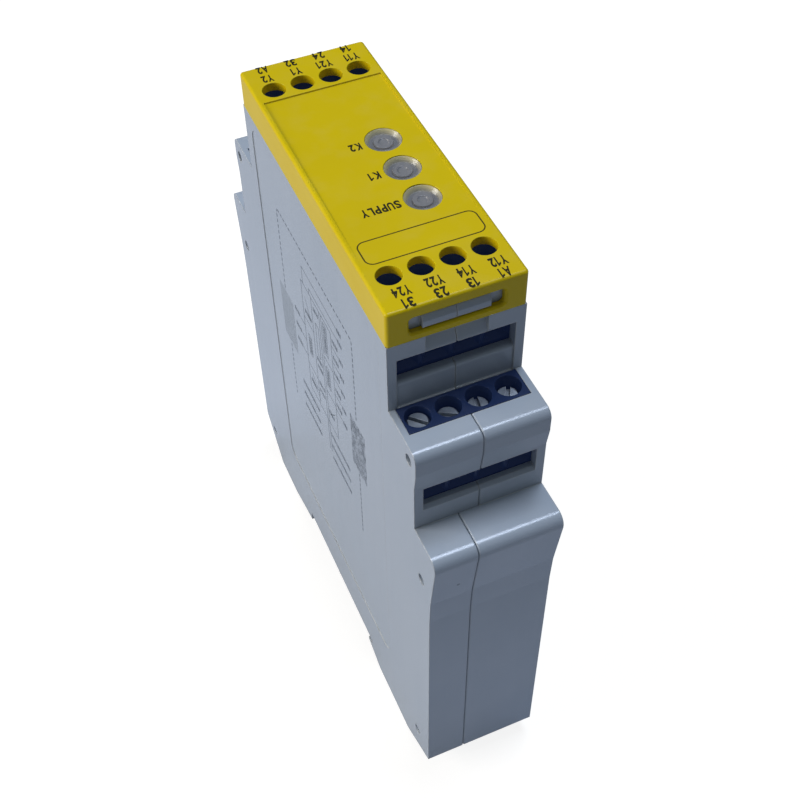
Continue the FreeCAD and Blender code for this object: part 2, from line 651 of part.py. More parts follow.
def add_bosses(body, left):
    """Bosses from the side wall to the main board."""
    inner_face = "-(" + INNER_SIDE + ")" if left else INNER_SIDE
    reach = INNER_SIDE + (" - board_side - board_thick" if left else " + board_side")
    bosses = new_sketch(body, "YZ_Plane", inner_face)
    for across, up in boss_places():
        circle(bosses, across, up, "boss_radius")
    pad(body, bosses, reach, reverse=not left)


def panel_corner_test(point):
    """The four short corner edges of the label panel."""
    at_end = near_to(abs(point.y), size("panel_half"))
    at_level = near_to(point.z, size("panel_top")) or near_to(point.z, size("panel_base"))
    at_face = abs(point.x) > size("case_width") / 2 - size("panel_depth") - 0.01
    return at_end and at_level and at_face


def make_case_half(label, left):
    """One half shell with its walls, openings, ribs, bosses and rail notch."""
    body = new_body(label)
    shell_pads(body, left)
    round_edges(body, corner_test("shoulder_high_half", "ledge_high"), "shoulder_high_round")
    round_edges(body, corner_test("shoulder_low_half", "ledge_low"), "shoulder_low_round")
    round_edges(body, seam_test(left), "seam_bevel", bevel=True)
    outer_face = "-case_width / 2" if left else "case_width / 2"
    inner_face = "-(" + INNER_SIDE + ")" if left else INNER_SIDE
    hollow = new_sketch(body, "YZ_Plane", inner_face)
    polygon(hollow, cavity_outline())
    pocket(body, hollow, "case_width", reverse=left)
    cut_openings(body)
    round_edges(body, sill_test, "sill_round")
    round_edges(body, low_sill_test, "sill_slope", bevel=True)
    panel = new_sketch(body, "YZ_Plane", outer_face)
    rectangle(panel, "-panel_half", "panel_half", "panel_base", "panel_top")
    pocket(body, panel, "panel_depth", reverse=left)
    round_edges(body, panel_corner_test, "panel_round")
    add_rests(body, left)
    add_latches(body, left)
    add_bosses(body, left)
    pins = new_sketch(body, "YZ_Plane", outer_face if left else inner_face)
    for across, up in pin_places():
        circle(pins, across, up, "pin_radius + pin_play" if left else "pin_radius")
    if left:
        pocket(body, pins, "case_width", reverse=True)
    else:
        pad(body, pins, "case_width - side_wall - pin_sunk", reverse=True)
    cut_latch_channel(body)
    if not left:
        post = new_sketch(body, "XY_Plane", "post_base")
        rectangle(post, "-post_half", "post_half", "post_start", "post_start + post_thick")
        pad(body, post, "cavity_base - post_base")
    return body


make_case_half("case_left", True)
make_case_half("case_right", False)


# The front cover

POLE_COUNT = int(size("poles"))


def pole_places():
    """Places of the poles across the width."""
    return [f"({k} - (poles - 1) / 2) * pitch" for k in range(POLE_COUNT)]


def lens_place(number):
    """Place along the length of an indicator, counted from the far one."""
    return f"lens_first - {number} * lens_pitch"


def slot_test(outside):
    """Edges of the latch slots: the four corners, or the rim on the outer face."""
    def test(point):
        at_corner = near_to(abs(point.x), size("slot_half"))
        at_level = near_to(point.z, size("slot_base")) or near_to(point.z, size("slot_top"))
        if not outside:
            return at_corner and at_level
        inside_slot = abs(point.x) < size("slot_half") + 0.01 and point.z < size("slot_top") + 0.01
        return near_to(abs(point.y), size("top_half")) and inside_slot and point.z > size("slot_base") - 0.01
    return test


def make_cover():
    """The yellow cap with screwdriver holes, indicator holes and a latch slot at each end."""
    body = new_body("front_cover")
    block = new_sketch(body, "XY_Plane", COVER_BASE)
    rectangle(block, "-case_width / 2", "case_width / 2", "-top_half", "top_half")
    pad(body, block, "cover_height")
    half = size("case_width") / 2
    end = size("top_half")
    top = size("front_height")
    round_edges(body, lambda p: near_to(abs(p.x), half) and near_to(abs(p.y), end), "cover_corner")
    round_edges(body, lambda p: near_to(p.z, top), "cover_round")
    hollow = new_sketch(body, "XY_Plane", COVER_BASE)
    side = "case_width / 2 - cover_wall"
    rectangle(hollow, "-(" + side + ")", side, "-(top_half - cover_wall)", "top_half - cover_wall")
    pocket(body, hollow, "cover_height - cover_top", reverse=True)
    slots = new_sketch(body, "XZ_Plane")
    rectangle(slots, "-slot_half", "slot_half", "slot_base", "slot_top")
    pocket(body, slots, "2 * (top_half + cut_clear)", both=True)
    round_edges(body, slot_test(False), "slot_round")
    round_edges(body, slot_test(True), "slot_bevel", bevel=True)
    field = new_sketch(body, "YZ_Plane")
    polygon(field, [
        ("-field_end", "front_height"),
        ("field_end", "front_height - field_depth"),
        ("field_end", "front_height + cut_clear"),
        ("-field_end", "front_height + cut_clear"),
    ])
    pocket(body, field, "2 * field_half", both=True)
    holes = new_sketch(body, "XY_Plane", "front_height")
    for place in pole_places():
        circle(holes, place, "axis_high", "access_radius")
        circle(holes, place, "-axis_high", "access_radius")
    for number in range(len(INDICATORS)):
        circle(holes, "lens_side", lens_place(number), "lens_radius")
    pocket(body, holes, "cover_top + cut_skin")


INDICATORS = ("k2", "k1", "supply")
make_cover()


# Indicators: a lens in the cover over each light-emitting diode

DISPLAY_BASE = "front_height - cover_top - bar_drop + header_above"


def make_lens(name, number):
    """A dished lens held from below by its flange."""
    body = new_body("lens_" + name, "lens_side", lens_place(number), "front_height")
    rim = "lens_radius - lens_play"
    flange = "lens_radius + lens_flange"
    revolve(body, [
        ("0", "-cover_top - lens_flange_height"),
        (flange, "-cover_top - lens_flange_height"),
        (flange, "-cover_top"),
        (rim, "-cover_top"),
        (rim, "-lens_sunk"),
        ("lens_dish_radius", "-lens_dish"),
        ("lens_boss_radius + lens_ring_depth", "-lens_dish"),
        ("lens_boss_radius", "-lens_dish + lens_boss"),
        ("lens_ring_radius", "-lens_dish + lens_boss"),
        ("lens_ring_radius - lens_ring_depth", "-lens_dish + lens_boss - lens_ring_depth"),
        ("0", "-lens_dish + lens_boss - lens_ring_depth"),
    ])


def make_led(name, number):
    """A round diode with a collar, standing on the display board."""
    body = new_body("led_" + name, "lens_side", lens_place(number), DISPLAY_BASE + " + board_thick")
    revolve(body, [
        ("0", "0"),
        ("led_collar", "0"),
        ("led_collar", "led_collar_height"),
        ("led_radius", "led_collar_height"),
        ("led_radius", "led_height"),
        ("0", "led_height"),
    ])
    round_edges(body, lambda p: near_to(p.z, size("led_height")), "led_dome")


for number, name in enumerate(INDICATORS):
    make_lens(name, number)
    make_led(name, number)


# Terminal blocks with their screws, clamp cages and contact bars

CAGE_ROOF_UNDER = "bar_drop - cage_play"
BLOCK_SIDE = "case_width / 2 - side_wall - block_play"


def make_block(label, place):
    """A four-pole block: a well over each screw, a hollow for its cage and a wiring mouth."""
    body = new_body(label, *place)
    outline = new_sketch(body, "YZ_Plane")
    polygon(outline, [
        ("-crown_front", "0"),
        ("crown_back", "0"),
        ("crown_back", "-crown_height"),
        ("block_back", "-crown_height"),
        ("block_back", "-block_height"),
        ("-block_face", "-block_height"),
        ("-block_face", "-brow_height"),
        ("-brow_front", "-brow_height"),
        ("-brow_front", "-crown_height"),
        ("-crown_front", "-crown_height"),
    ])
    pad(body, outline, "2 * (" + BLOCK_SIDE + ")", both=True)
    hollow_half = "(cage_width / 2 + cage_play)"
    hollow_end = "(cage_length / 2 + cage_play)"
    bar_half = "(bar_width / 2 + bar_play)"
    mouth_low = "-(" + CAGE_ROOF_UNDER + " + cage_mouth)"
    wells = new_sketch(body, "XY_Plane")
    shelves = new_sketch(body, "XY_Plane")
    hollows = new_sketch(body, "XY_Plane", "-shelf_depth")
    slots = new_sketch(body, "XZ_Plane", "-block_back")
    mouths = new_sketch(body, "XZ_Plane", "block_face")
    for x in pole_places():
        circle(wells, x, "0", "well_radius")
        circle(shelves, x, "0", "screw_radius + shelf_play")
        left = x + " - " + hollow_half
        right = x + " + " + hollow_half
        rectangle(hollows, left, right, "-" + hollow_end, hollow_end)
        slot_low = "-(bar_drop + bar_thick + bar_play)"
        rectangle(slots, x + " - " + bar_half, x + " + " + bar_half, slot_low, "-(bar_drop - bar_play)")
        rectangle(mouths, x + " - mouth_half", x + " + mouth_half", mouth_low, "-bar_drop")
    pocket(body, wells, "seat_depth")
    pocket(body, shelves, "shelf_depth + cut_skin")
    hollow_floor = CAGE_ROOF_UNDER + " + cage_mouth + cage_floor + cage_play"
    pocket(body, hollows, hollow_floor + " - shelf_depth")
    pocket(body, slots, "block_back - cage_length / 2", reverse=True)
    pocket(body, mouths, "block_face - cage_length / 2")
    roof = -size("bar_drop")
    floor = size("cage_play") - size("bar_drop") - size("cage_mouth")

    def rim(point):
        at_mouth = point.z > floor - 0.01 and point.z < roof + 0.01
        return near_to(point.y, -size("block_face")) and at_mouth
    round_edges(body, rim, "funnel", bevel=True)


def make_screw(label, place, spin):
    """A terminal screw with a driver slot; its own zero is the underside of the head."""
    body = new_body(label, *place, spin=spin)
    revolve(body, [
        ("0", "-screw_length"),
        ("screw_radius - head_bevel", "-screw_length"),
        ("screw_radius", "head_bevel - screw_length"),
        ("screw_radius", "0"),
        ("head_radius", "0"),
        ("head_radius", "head_height - head_bevel"),
        ("head_radius - head_bevel", "head_height"),
        ("0", "head_height"),
    ])
    slot = new_sketch(body, "XY_Plane", "head_height")
    reach = "head_radius + cut_skin"
    rectangle(slot, "-(" + reach + ")", reach, "-drive_slot / 2", "drive_slot / 2")
    pocket(body, slot, "drive_depth")


def make_cage(label, place):
    """A rising clamp cage: a square tube with a threaded roof."""
    body = new_body(label, *place)
    ring = new_sketch(body, "XZ_Plane")
    top = "-(" + CAGE_ROOF_UNDER + " - cage_roof)"
    low = "-(" + CAGE_ROOF_UNDER + " + cage_mouth"
    rectangle(ring, "-cage_width / 2", "cage_width / 2", low + " + cage_floor)", top)
    inside = "(cage_width / 2 - cage_wall)"
    rectangle(ring, "-" + inside, inside, low + ")", "-(" + CAGE_ROOF_UNDER + ")")
    pad(body, ring, "cage_length", both=True)
    thread = new_sketch(body, "XY_Plane", top)
    circle(thread, "0", "0", "screw_radius + thread_play")
    pocket(body, thread, "cage_roof + cut_skin")


def make_bars(label, place):
    """The four contact bars of a block, each ending in a pin for the header."""
    body = new_body(label, *place)
    flat = new_sketch(body, "XY_Plane", "-(bar_drop + bar_thick)")
    for x in pole_places():
        wide_left = x + " - bar_width / 2"
        wide_right = x + " + bar_width / 2"
        pin_left = x + " - bar_pin / 2"
        pin_right = x + " + bar_pin / 2"
        polygon(flat, [
            (wide_left, "-bar_front"),
            (wide_right, "-bar_front"),
            (wide_right, "block_back"),
            (pin_right, "block_back"),
            (pin_right, "block_back + bar_tail"),
            (pin_left, "block_back + bar_tail"),
            (pin_left, "block_back"),
            (wide_left, "block_back"),
        ])
    pad(body, flat, "bar_thick")


def make_header(label, place):
    """The socket on the boards that takes the pins of a block."""
    body = new_body(label, *place)
    outline = new_sketch(body, "YZ_Plane")
    low = "-(bar_drop + bar_thick + header_below)"
    near_face = "block_back + header_play"
    rectangle(outline, near_face, near_face + " + header_depth", low, "header_above - bar_drop")
    pad(body, outline, "2 * (" + INNER_SIDE + " - header_side)", both=True)
    holes = new_sketch(body, "XZ_Plane", "-(" + near_face + ")")
    half = "(bar_pin / 2 + bar_play)"
    for x in pole_places():
        base = "-(bar_drop + bar_thick + bar_play)"
        rectangle(holes, x + " - " + half, x + " + " + half, base, "-(bar_drop - bar_play)")
    pocket(body, holes, "bar_tail")


SPIN_STEP = 37.0
SPINS_SEEN = (-45.0, -30.0, 80.0, 60.0)


def make_terminals():
    """All four blocks: near and far, upper and lower."""
    for end in ("near", "far"):
        for level in ("upper", "lower"):
            turned = end == "far"
            sign = "" if turned else "-"
            axis = "axis_high" if level == "upper" else "axis_low"
            top = BLOCK_TOP_HIGH if level == "upper" else "ledge_high"
            place = ("0", sign + axis, top, turned)
            name = end + "_" + level
            make_block("terminal_block_" + name, place)
            make_bars("contact_bars_" + name, place)
            make_header("pin_header_" + name, place)
            for number, x in enumerate(pole_places(), start=1):
                loose = name == "near_lower" and number == 1
                seat = top + " - seat_depth" + (" + loose_lift" if loose else "")
                spin = SPINS_SEEN[number - 1] if name == "near_lower" else SPIN_STEP * len(parts)
                make_screw(f"screw_{name}_{number}", (x, sign + axis, seat), spin)
                make_cage(f"clamp_cage_{name}_{number}", (x, sign + axis, top))


make_terminals()


# The electronics inside


def make_main_board():
    """The upright circuit board, stepped like the case."""
    body = new_body("main_board")
    outline = new_sketch(body, "YZ_Plane", "-(board_side + board_thick)")
    mid_half = "axis_low - block_back - header_play - header_depth"
    top_half = "axis_high - block_back - header_play - header_depth - board_gap"
    steps = [
        ("board_low_half - board_corner", "board_base"),
        ("board_low_half", "board_base + board_corner"),
        ("board_low_half", "board_low_top"),
        (mid_half, "board_low_top"),
        (mid_half, "board_mid_top"),
        (top_half, "board_mid_top"),
        (top_half, DISPLAY_BASE),
    ]
    left = [("-(" + across + ")", up) for across, up in steps]
    polygon(outline, left + steps[::-1])
    pad(body, outline, "board_thick")


def make_relay(label, sign):
    """A sealed relay lying on the main board."""
    body = new_body(label)
    outline = new_sketch(body, "YZ_Plane", "-board_side")
    near_edge = sign + "relay_gap"
    far_edge = sign + "(relay_gap + relay_width)"
    rectangle(outline, near_edge, far_edge, "relay_base", "relay_base + relay_tall")
    pad(body, outline, "relay_deep")
    top = size("relay_deep") - size("board_side")
    round_edges(body, lambda p: near_to(p.x, top), "relay_bevel", bevel=True)


def make_capacitor():
    """The smoothing capacitor, lying along the main board."""
    body = new_body("smoothing_capacitor", "can_radius - board_side", "can_half", "can_base")
    revolve(body, [
        ("0", "0"),
        ("can_radius - can_bevel", "0"),
        ("can_radius", "can_bevel"),
        ("can_radius", "can_length - can_bevel"),
        ("can_radius - can_bevel", "can_length"),
        ("0", "can_length"),
    ])


def make_display_board():
    """The small flat board that carries the indicators and the upper headers."""
    body = new_body("display_board")
    outline = new_sketch(body, "XY_Plane", DISPLAY_BASE)
    end = "axis_high - block_back - display_end_play"
    rectangle(outline, "-display_side", "display_side", "-(" + end + ")", end)
    pad(body, outline, "board_thick")


make_main_board()
make_relay("relay_k1", "-")
make_relay("relay_k2", "")
make_capacitor()
make_display_board()


# The sliding latch that grips the rail


def bevel_reach(height):
    """How far out the latch may reach at a height, one play inside the far foot's cut corner."""
    slope = "(low_half - far_bevel_reach) / far_bevel_height"
    return "far_bevel_reach + (" + height + ") * " + slope + " - foot_play"


def make_rail_latch():
    """A flat slider with a hook, guide ribs, a moulded spring and a screwdriver slot."""
    body = new_body("rail_latch")
    outline = new_sketch(body, "YZ_Plane")
    polygon(outline, [
        (HOOK_HALF, HOOK_TOP + " - hook_tip"),
        ("foot_lead", "foot_base"),
        (bevel_reach("foot_base"), "foot_base"),
        (bevel_reach("foot_top"), "foot_top"),
        (NOTCH_HALF, "foot_top"),
        (NOTCH_HALF, HOOK_TOP),
        (HOOK_HALF, HOOK_TOP),
    ])
    pad(body, outline, "2 * foot_half", both=True)
    ribs = new_sketch(body, "XY_Plane", "foot_rib_base")
    rib_half = "foot_half + foot_rib"
    rectangle(ribs, "-(" + rib_half + ")", rib_half, "foot_lead", "foot_window_end")
    pad(body, ribs, "foot_rib_thick")
    window = new_sketch(body, "XY_Plane", "foot_top")
    window_start = "post_start - foot_travel - foot_stop_play"
    rectangle(window, "-foot_window_half", "foot_window_half", window_start, "foot_window_end")
    tool_end = bevel_reach("foot_base") + " - tool_slot_rim"
    rectangle(window, "-tool_slot_half", "tool_slot_half", tool_end + " - tool_slot_deep", tool_end)
    pocket(body, window, "foot_top + cut_clear")
    spring_start = "post_start + post_thick + spring_play"
    block = new_sketch(body, "XY_Plane", "foot_base")
    rectangle(block, "-spring_half", "spring_half", spring_start, "foot_window_end")
    pad(body, block, "foot_top - foot_base")
    turns = new_sketch(body, "XY_Plane", "foot_top")
    step = "((foot_window_end - (" + spring_start + ")) / spring_legs)"
    for k in range(int(size("spring_legs"))):
        left = "-(spring_half + spring_play)" if k % 2 else "spring_wall - spring_half"
        right = "spring_half - spring_wall" if k % 2 else "spring_half + spring_play"
        low = f"{spring_start} + spring_wall + {k} * {step}"
        rectangle(turns, left, right, low, f"{spring_start} + {k + 1} * {step}")
    pocket(body, turns, "foot_top")


make_rail_latch()


# Checks and files

doc.recompute()
failed = [item.Name for item in doc.Objects if "Invalid" in item.State or "Error" in item.State]
if failed:
    raise RuntimeError("failed objects: " + ", ".join(failed))
os.makedirs("parts", exist_ok=True)
for body in parts:
    shape = body.Shape
    if shape.isNull() or not shape.isValid():
        raise RuntimeError("bad shape: " + body.Label)
    shape.exportStep(os.path.join("parts", body.Label + ".step"))
print(len(parts), "parts written")
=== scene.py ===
# %% [markdown]
# # Dressing a safety relay
# The relay is a narrow grey box for a mounting rail, with a yellow cap, three indicator lenses and
# four dark terminal blocks. Its solids come from the CAD frame and keep their shapes. What Blender
# adds is what a mould, a printer and a few years in a cabinet leave behind: skin, gloss, ink, dust
# and turned metal.

# %% Open the frame
import math

import bpy
from mathutils import Matrix, Vector


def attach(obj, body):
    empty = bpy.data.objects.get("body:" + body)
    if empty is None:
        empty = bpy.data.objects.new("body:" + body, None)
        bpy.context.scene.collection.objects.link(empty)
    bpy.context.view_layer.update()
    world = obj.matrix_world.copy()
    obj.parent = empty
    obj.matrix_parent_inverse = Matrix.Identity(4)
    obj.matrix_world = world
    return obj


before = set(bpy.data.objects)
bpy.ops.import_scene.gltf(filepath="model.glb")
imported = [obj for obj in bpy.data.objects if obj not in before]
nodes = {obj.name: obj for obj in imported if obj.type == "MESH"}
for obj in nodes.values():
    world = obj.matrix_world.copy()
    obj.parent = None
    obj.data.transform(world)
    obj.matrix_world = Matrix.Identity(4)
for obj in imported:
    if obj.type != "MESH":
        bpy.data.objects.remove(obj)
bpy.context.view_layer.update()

MM = 0.001

# %% [markdown]
# ## New objects
# Blender keeps data, such as a mesh or a lamp, apart from the object that carries it, and an object
# shows only once it is linked to the scene. One function does both.


# %% A helper for new objects
def add_object(name, data):
    """A new object in the scene's own collection."""
    made = bpy.data.objects.new(name, data)
    bpy.context.scene.collection.objects.link(made)
    return made


# %% [markdown]
# ## The camera
# A photograph of a small box is taken from near by, so its lines converge. A camera could be set by
# eye, but here its place and turn were worked out from the box's corners, and they are written as
# three unit vectors: where the picture's right, its down and its depth point in the relay's own
# frame.

# %% Set the camera
SENSOR_MM = 36.0
PICTURE_PIXELS = 800
FOCAL_PIXELS = 1248.51
NEAREST_SEEN = 0.01
EYE_MM = (-55.255, -142.766, 236.950)
RIGHTWARD = Vector((0.91775, -0.39691, -0.01394))
DOWNWARD = Vector((-0.30994, -0.69382, -0.65004))
INWARD = Vector((0.24834, 0.60090, -0.75977))

camera_data = bpy.data.cameras.new("relay_camera")
camera_data.sensor_fit = "HORIZONTAL"
camera_data.sensor_width = SENSOR_MM
camera_data.lens = FOCAL_PIXELS * SENSOR_MM / PICTURE_PIXELS
camera_data.clip_start = NEAREST_SEEN
camera = add_object("relay_camera", camera_data)
turn = Matrix((RIGHTWARD.normalized(), -DOWNWARD.normalized(), -INWARD.normalized())).transposed()
camera.matrix_world = Matrix.Translation(Vector(EYE_MM) * MM) @ turn.to_4x4()
bpy.context.scene.camera = camera
print("lens in mm:", round(camera_data.lens, 2))

# %% [markdown]
# ## The light
# Two soft boxes do the work. One stands on the left and a little behind, so that the left side is
# bright and the end wall towards us stays dim. A cooler one hangs overhead for the ledges and the
# cap, and its reflection is the bright line along each rounded shoulder. The power of a lamp falls
# with the square of its distance, so it is worked out from the brightness that is wanted at the
# relay.

# %% Hang the soft boxes
AIM = Vector((0.0, 0.0, 0.06))


def soft_box(name, direction, distance, side, brightness, tint):
    """A square lamp that far from the relay. Brightness 1 shows a white sheet facing it as white."""
    data = bpy.data.lights.new(name, "AREA")
    data.shape = "SQUARE"
    data.size = side
    data.energy = brightness * (math.pi * distance) ** 2
    data.color = tint
    lamp = add_object(name, data)
    toward = Vector(direction).normalized()
    lamp.rotation_euler = toward.to_track_quat("Z", "Y").to_euler()
    lamp.location = AIM + toward * distance
    print(name, "power in watts:", round(data.energy, 1))


soft_box("left_box", direction=(-0.85, 0.20, 0.34), distance=1.1, side=0.55, brightness=0.77,
         tint=(1.0, 0.985, 0.965))
soft_box("overhead_box", direction=(0.20, 0.07, 0.975), distance=1.0, side=0.34, brightness=0.60,
         tint=(0.70, 0.81, 1.0))

# %% [markdown]
# ## Building node trees
# Materials, the room's light and the printed lines are all trees of nodes. Made by hand, each node
# takes a line of its own and each link another. A few small functions say the same in one line: add
# this node, set it so, and feed its inputs from these values or from other nodes.

# %% Helpers for node trees
MIX_FACTOR, MIX_LOW, MIX_HIGH, MIX_RESULT = 0, 6, 7, 2


def feed(tree, socket, value):
    """Links the input to another node's output, or sets its own value."""
    if isinstance(value, bpy.types.NodeSocket):
        tree.links.new(value, socket)
    else:
        socket.default_value = value


def put(tree, kind, values=None, **settings):
    """Adds a node, sets its options, and feeds the inputs that are named or numbered."""
    node = tree.nodes.new(kind)
    for name, value in settings.items():
        setattr(node, name, value)
    for name, value in (values or {}).items():
        feed(tree, node.inputs[name], value)
    return node


def maths(tree, operation, first, second=0.0):
    """One sum on two values."""
    return put(tree, "ShaderNodeMath", {0: first, 1: second}, operation=operation).outputs[0]


def plus(tree, first, second):
    """The two values added."""
    return maths(tree, "ADD", first, second)


def times(tree, first, second):
    """The two values multiplied."""
    return maths(tree, "MULTIPLY", first, second)


def vector_maths(tree, operation, values, result=0):
    """One sum on vectors."""
    return put(tree, "ShaderNodeVectorMath", values, operation=operation).outputs[result]


def span(tree, value, start, end, low=0.0, high=1.0):
    """The value carried from start..end to low..high, and held there."""
    return put(tree, "ShaderNodeMapRange", {
        "Value": value, "From Min": start, "From Max": end,
        "To Min": low, "To Max": high}).outputs[0]


def blend_colours(tree, factor, low, high):
    """A colour between low and high."""
    return put(tree, "ShaderNodeMix", {MIX_FACTOR: factor, MIX_LOW: low, MIX_HIGH: high},
               data_type="RGBA").outputs[MIX_RESULT]


# %% [markdown]
# ## Floor and surroundings
# The relay stands on plain pale paper. The camera sees the paper and the room as white, which is
# done with the Light Path node, while the light that they throw back on the relay is less, so that
# its end wall keeps its shade and dark plastic stays dark. The paper still takes the relay's soft
# shadow.


# %% Two shaders for one thing: what lights the relay and what the camera sees
def show_apart(tree, lighting, seen, output_kind):
    """The camera sees the second shader, also through glass, and all other light meets the first."""
    path = tree.nodes.new("ShaderNodeLightPath").outputs
    seen_ray = maths(tree, "MAXIMUM", path["Is Camera Ray"], path["Is Transmission Ray"])
    mixed = put(tree, "ShaderNodeMixShader", {0: seen_ray, 1: lighting, 2: seen}).outputs[0]
    put(tree, output_kind, {"Surface": mixed})


# %% Paint the room
ROOM_TINT = (0.74, 0.87, 1.0, 1)
ROOM_LIGHT = 0.145
WHITE = (1, 1, 1, 1)

room = bpy.data.worlds.new("pale_room")
room.use_nodes = True
bpy.context.scene.world = room
room.node_tree.nodes.clear()
room_light = put(room.node_tree, "ShaderNodeBackground", {
    "Color": ROOM_TINT, "Strength": ROOM_LIGHT})
room_seen = put(room.node_tree, "ShaderNodeBackground", {"Color": WHITE})
show_apart(room.node_tree, room_light.outputs[0], room_seen.outputs[0], "ShaderNodeOutputWorld")
bpy.context.scene.view_settings.view_transform = "Standard"
print("room light:", ROOM_LIGHT)

# %% Lay the paper
PAPER_BOUNCE = (0.47, 0.49, 0.55, 1)
PAPER_FACE = (0.30, 0.28, 0.25, 1)
PAPER_GLOW = 0.86
PAPER_HALF = 3.0
PAPER_CORNERS = ((-1, -1), (1, -1), (1, 1), (-1, 1))

paper = bpy.data.materials.new("pale_paper")
paper.use_nodes = True
paper.node_tree.nodes.clear()
bounce = put(paper.node_tree, "ShaderNodeBsdfDiffuse", {"Color": PAPER_BOUNCE})
lit_face = put(paper.node_tree, "ShaderNodeBsdfDiffuse", {"Color": PAPER_FACE})
glow = put(paper.node_tree, "ShaderNodeEmission", {"Strength": PAPER_GLOW})
sheet = put(paper.node_tree, "ShaderNodeAddShader", {0: lit_face.outputs[0], 1: glow.outputs[0]})
show_apart(paper.node_tree, bounce.outputs[0], sheet.outputs[0], "ShaderNodeOutputMaterial")

floor_mesh = bpy.data.meshes.new("paper_floor")
floor_mesh.from_pydata([(x * PAPER_HALF, y * PAPER_HALF, 0) for x, y in PAPER_CORNERS],
                       [], [(0, 1, 2, 3)])
floor_mesh.materials.append(paper)
floor = add_object("paper_floor", floor_mesh)
print("paper laid,", 2 * PAPER_HALF, "m wide")

# %% [markdown]
# ## Shared effects as node groups
# Most of the relay is moulded plastic, and all moulded plastic has the same habits: a faint cloud in
# its colour where it cooled unevenly, a fine grain from the mould and dust that settles on what faces
# up. Its edges also get a painted highlight. Each habit is a shader node group, built once. A group
# puts out only colours, masks, heights and other plain values. Each material places it with its own
# values and keeps its own Principled shader.

# %% Helpers for effects
SOFT_NOISE = (0.3, 0.7)
PATCHY_NOISE = (0.45, 0.75)


def new_effect(name, inputs, outputs):
    """An empty node group with sockets of these kinds, what it is given and what it gives."""
    group = bpy.data.node_groups.new(name, "ShaderNodeTree")
    for label, kind, start in inputs:
        socket = group.interface.new_socket(
            name=label, in_out="INPUT", socket_type="NodeSocket" + kind)
        socket.default_value = start
    for label, kind in outputs:
        group.interface.new_socket(name=label, in_out="OUTPUT", socket_type="NodeSocket" + kind)
    print("effect", name, "gives", [label for label, kind in outputs])
    given = group.nodes.new("NodeGroupInput").outputs
    gives = group.nodes.new("NodeGroupOutput").inputs
    return group, given, gives


def own_place(tree):
    """Where a point lies in the frame of its own object."""
    return tree.nodes.new("ShaderNodeTexCoord").outputs["Object"]


def parts_of(tree, vector):
    """The three parts of a vector."""
    return put(tree, "ShaderNodeSeparateXYZ", {0: vector}).outputs


def noise(tree, place, scale, detail):
    """A soft noise. Most of it lies between 0.3 and 0.7."""
    return put(tree, "ShaderNodeTexNoise", {
        "Vector": place, "Scale": scale, "Detail": detail}).outputs[0]


def reach_of(tree, first, second):
    """The length of a step with these two sides."""
    return maths(tree, "SQRT", plus(
        tree, times(tree, first, first), times(tree, second, second)))


def from_nearest(tree, value, pitch):
    """How far a value is from the middle of its own cell, where cells of that pitch stand in a
    row."""
    return maths(tree, "SUBTRACT", maths(tree, "FLOORED_MODULO", value, pitch), pitch / 2)


# %% [markdown]
# ### Moulded skin
# Plastic flows up the mould as it fills it and cools unevenly. The cloud is a large soft noise, the
# streaks are a noise drawn out upwards, and the grain is a fine one that gives the height for a bump.
# The gloss follows the cloud, because both come from how the plastic cooled.

# %% Moulded skin: cloud, streaks and grain
CLOUD_SHARE = 0.8
STREAK_SCALE = 420.0
DRAWN_UPWARDS = (1.0, 1.0, 0.06)

skin, given, gives = new_effect(
    "moulded_skin",
    [("Tone", "Color", (0.5, 0.5, 0.5, 1)), ("Deep tone", "Color", (0.4, 0.4, 0.4, 1)),
     ("Cloud scale", "Float", 60.0), ("Grain scale", "Float", 6000.0), ("Streaks", "Float", 0.2),
     ("Smoothest", "Float", 0.35), ("Roughest", "Float", 0.5)],
    [("Colour", "Color"), ("Roughness", "Float"), ("Height", "Float")])
place = own_place(skin)
cloud = noise(skin, place, given["Cloud scale"], detail=4.0)
drawn = vector_maths(skin, "MULTIPLY", {0: place, 1: DRAWN_UPWARDS})
streak = noise(skin, drawn, STREAK_SCALE, detail=3.0)
grain = noise(skin, place, given["Grain scale"], detail=2.0)
cloud_part = times(skin, span(skin, cloud, *SOFT_NOISE), CLOUD_SHARE)
streak_part = times(skin, span(skin, streak, *PATCHY_NOISE), given["Streaks"])
depth = plus(skin, cloud_part, streak_part)
feed(skin, gives["Colour"], blend_colours(skin, depth, given["Tone"], given["Deep tone"]))
feed(skin, gives["Roughness"],
     span(skin, cloud, *SOFT_NOISE, given["Smoothest"], given["Roughest"]))
feed(skin, gives["Height"], grain)

# %% [markdown]
# ### Painted highlights on edges
# An edge shows where the rounded normal of the Bevel node leaves the true one. The mask is worked
# out from how well the two agree, where 1 is the same direction, so it needs no painting and follows
# every edge of the CAD solids. The finishes lighten their colour under this mask, a painted
# highlight.

# %% Edges for the painted highlight: where the rounded normal leaves the true one
EDGE_STARTS = 0.995
EDGE_IS_FULL = 0.80
MASK_SAMPLES = 6

edges, given, gives = new_effect(
    "caught_edges", [("Width", "Float", 0.0003)], [("Mask", "Float")])
rounded = put(edges, "ShaderNodeBevel", {"Radius": given["Width"]}, samples=MASK_SAMPLES).outputs[0]
true_normal = edges.nodes.new("ShaderNodeNewGeometry").outputs["Normal"]
agree = vector_maths(edges, "DOT_PRODUCT", {0: rounded, 1: true_normal}, "Value")
feed(edges, gives["Mask"], span(edges, agree, EDGE_STARTS, EDGE_IS_FULL))

# %% [markdown]
# ### Dust
# Dust lies only on what faces up, and it lies in patches. The upward part of the normal gives the
# first, and the upper end of a noise gives the second.

# %% Settled dust
DUST_LIES_FROM = 0.3

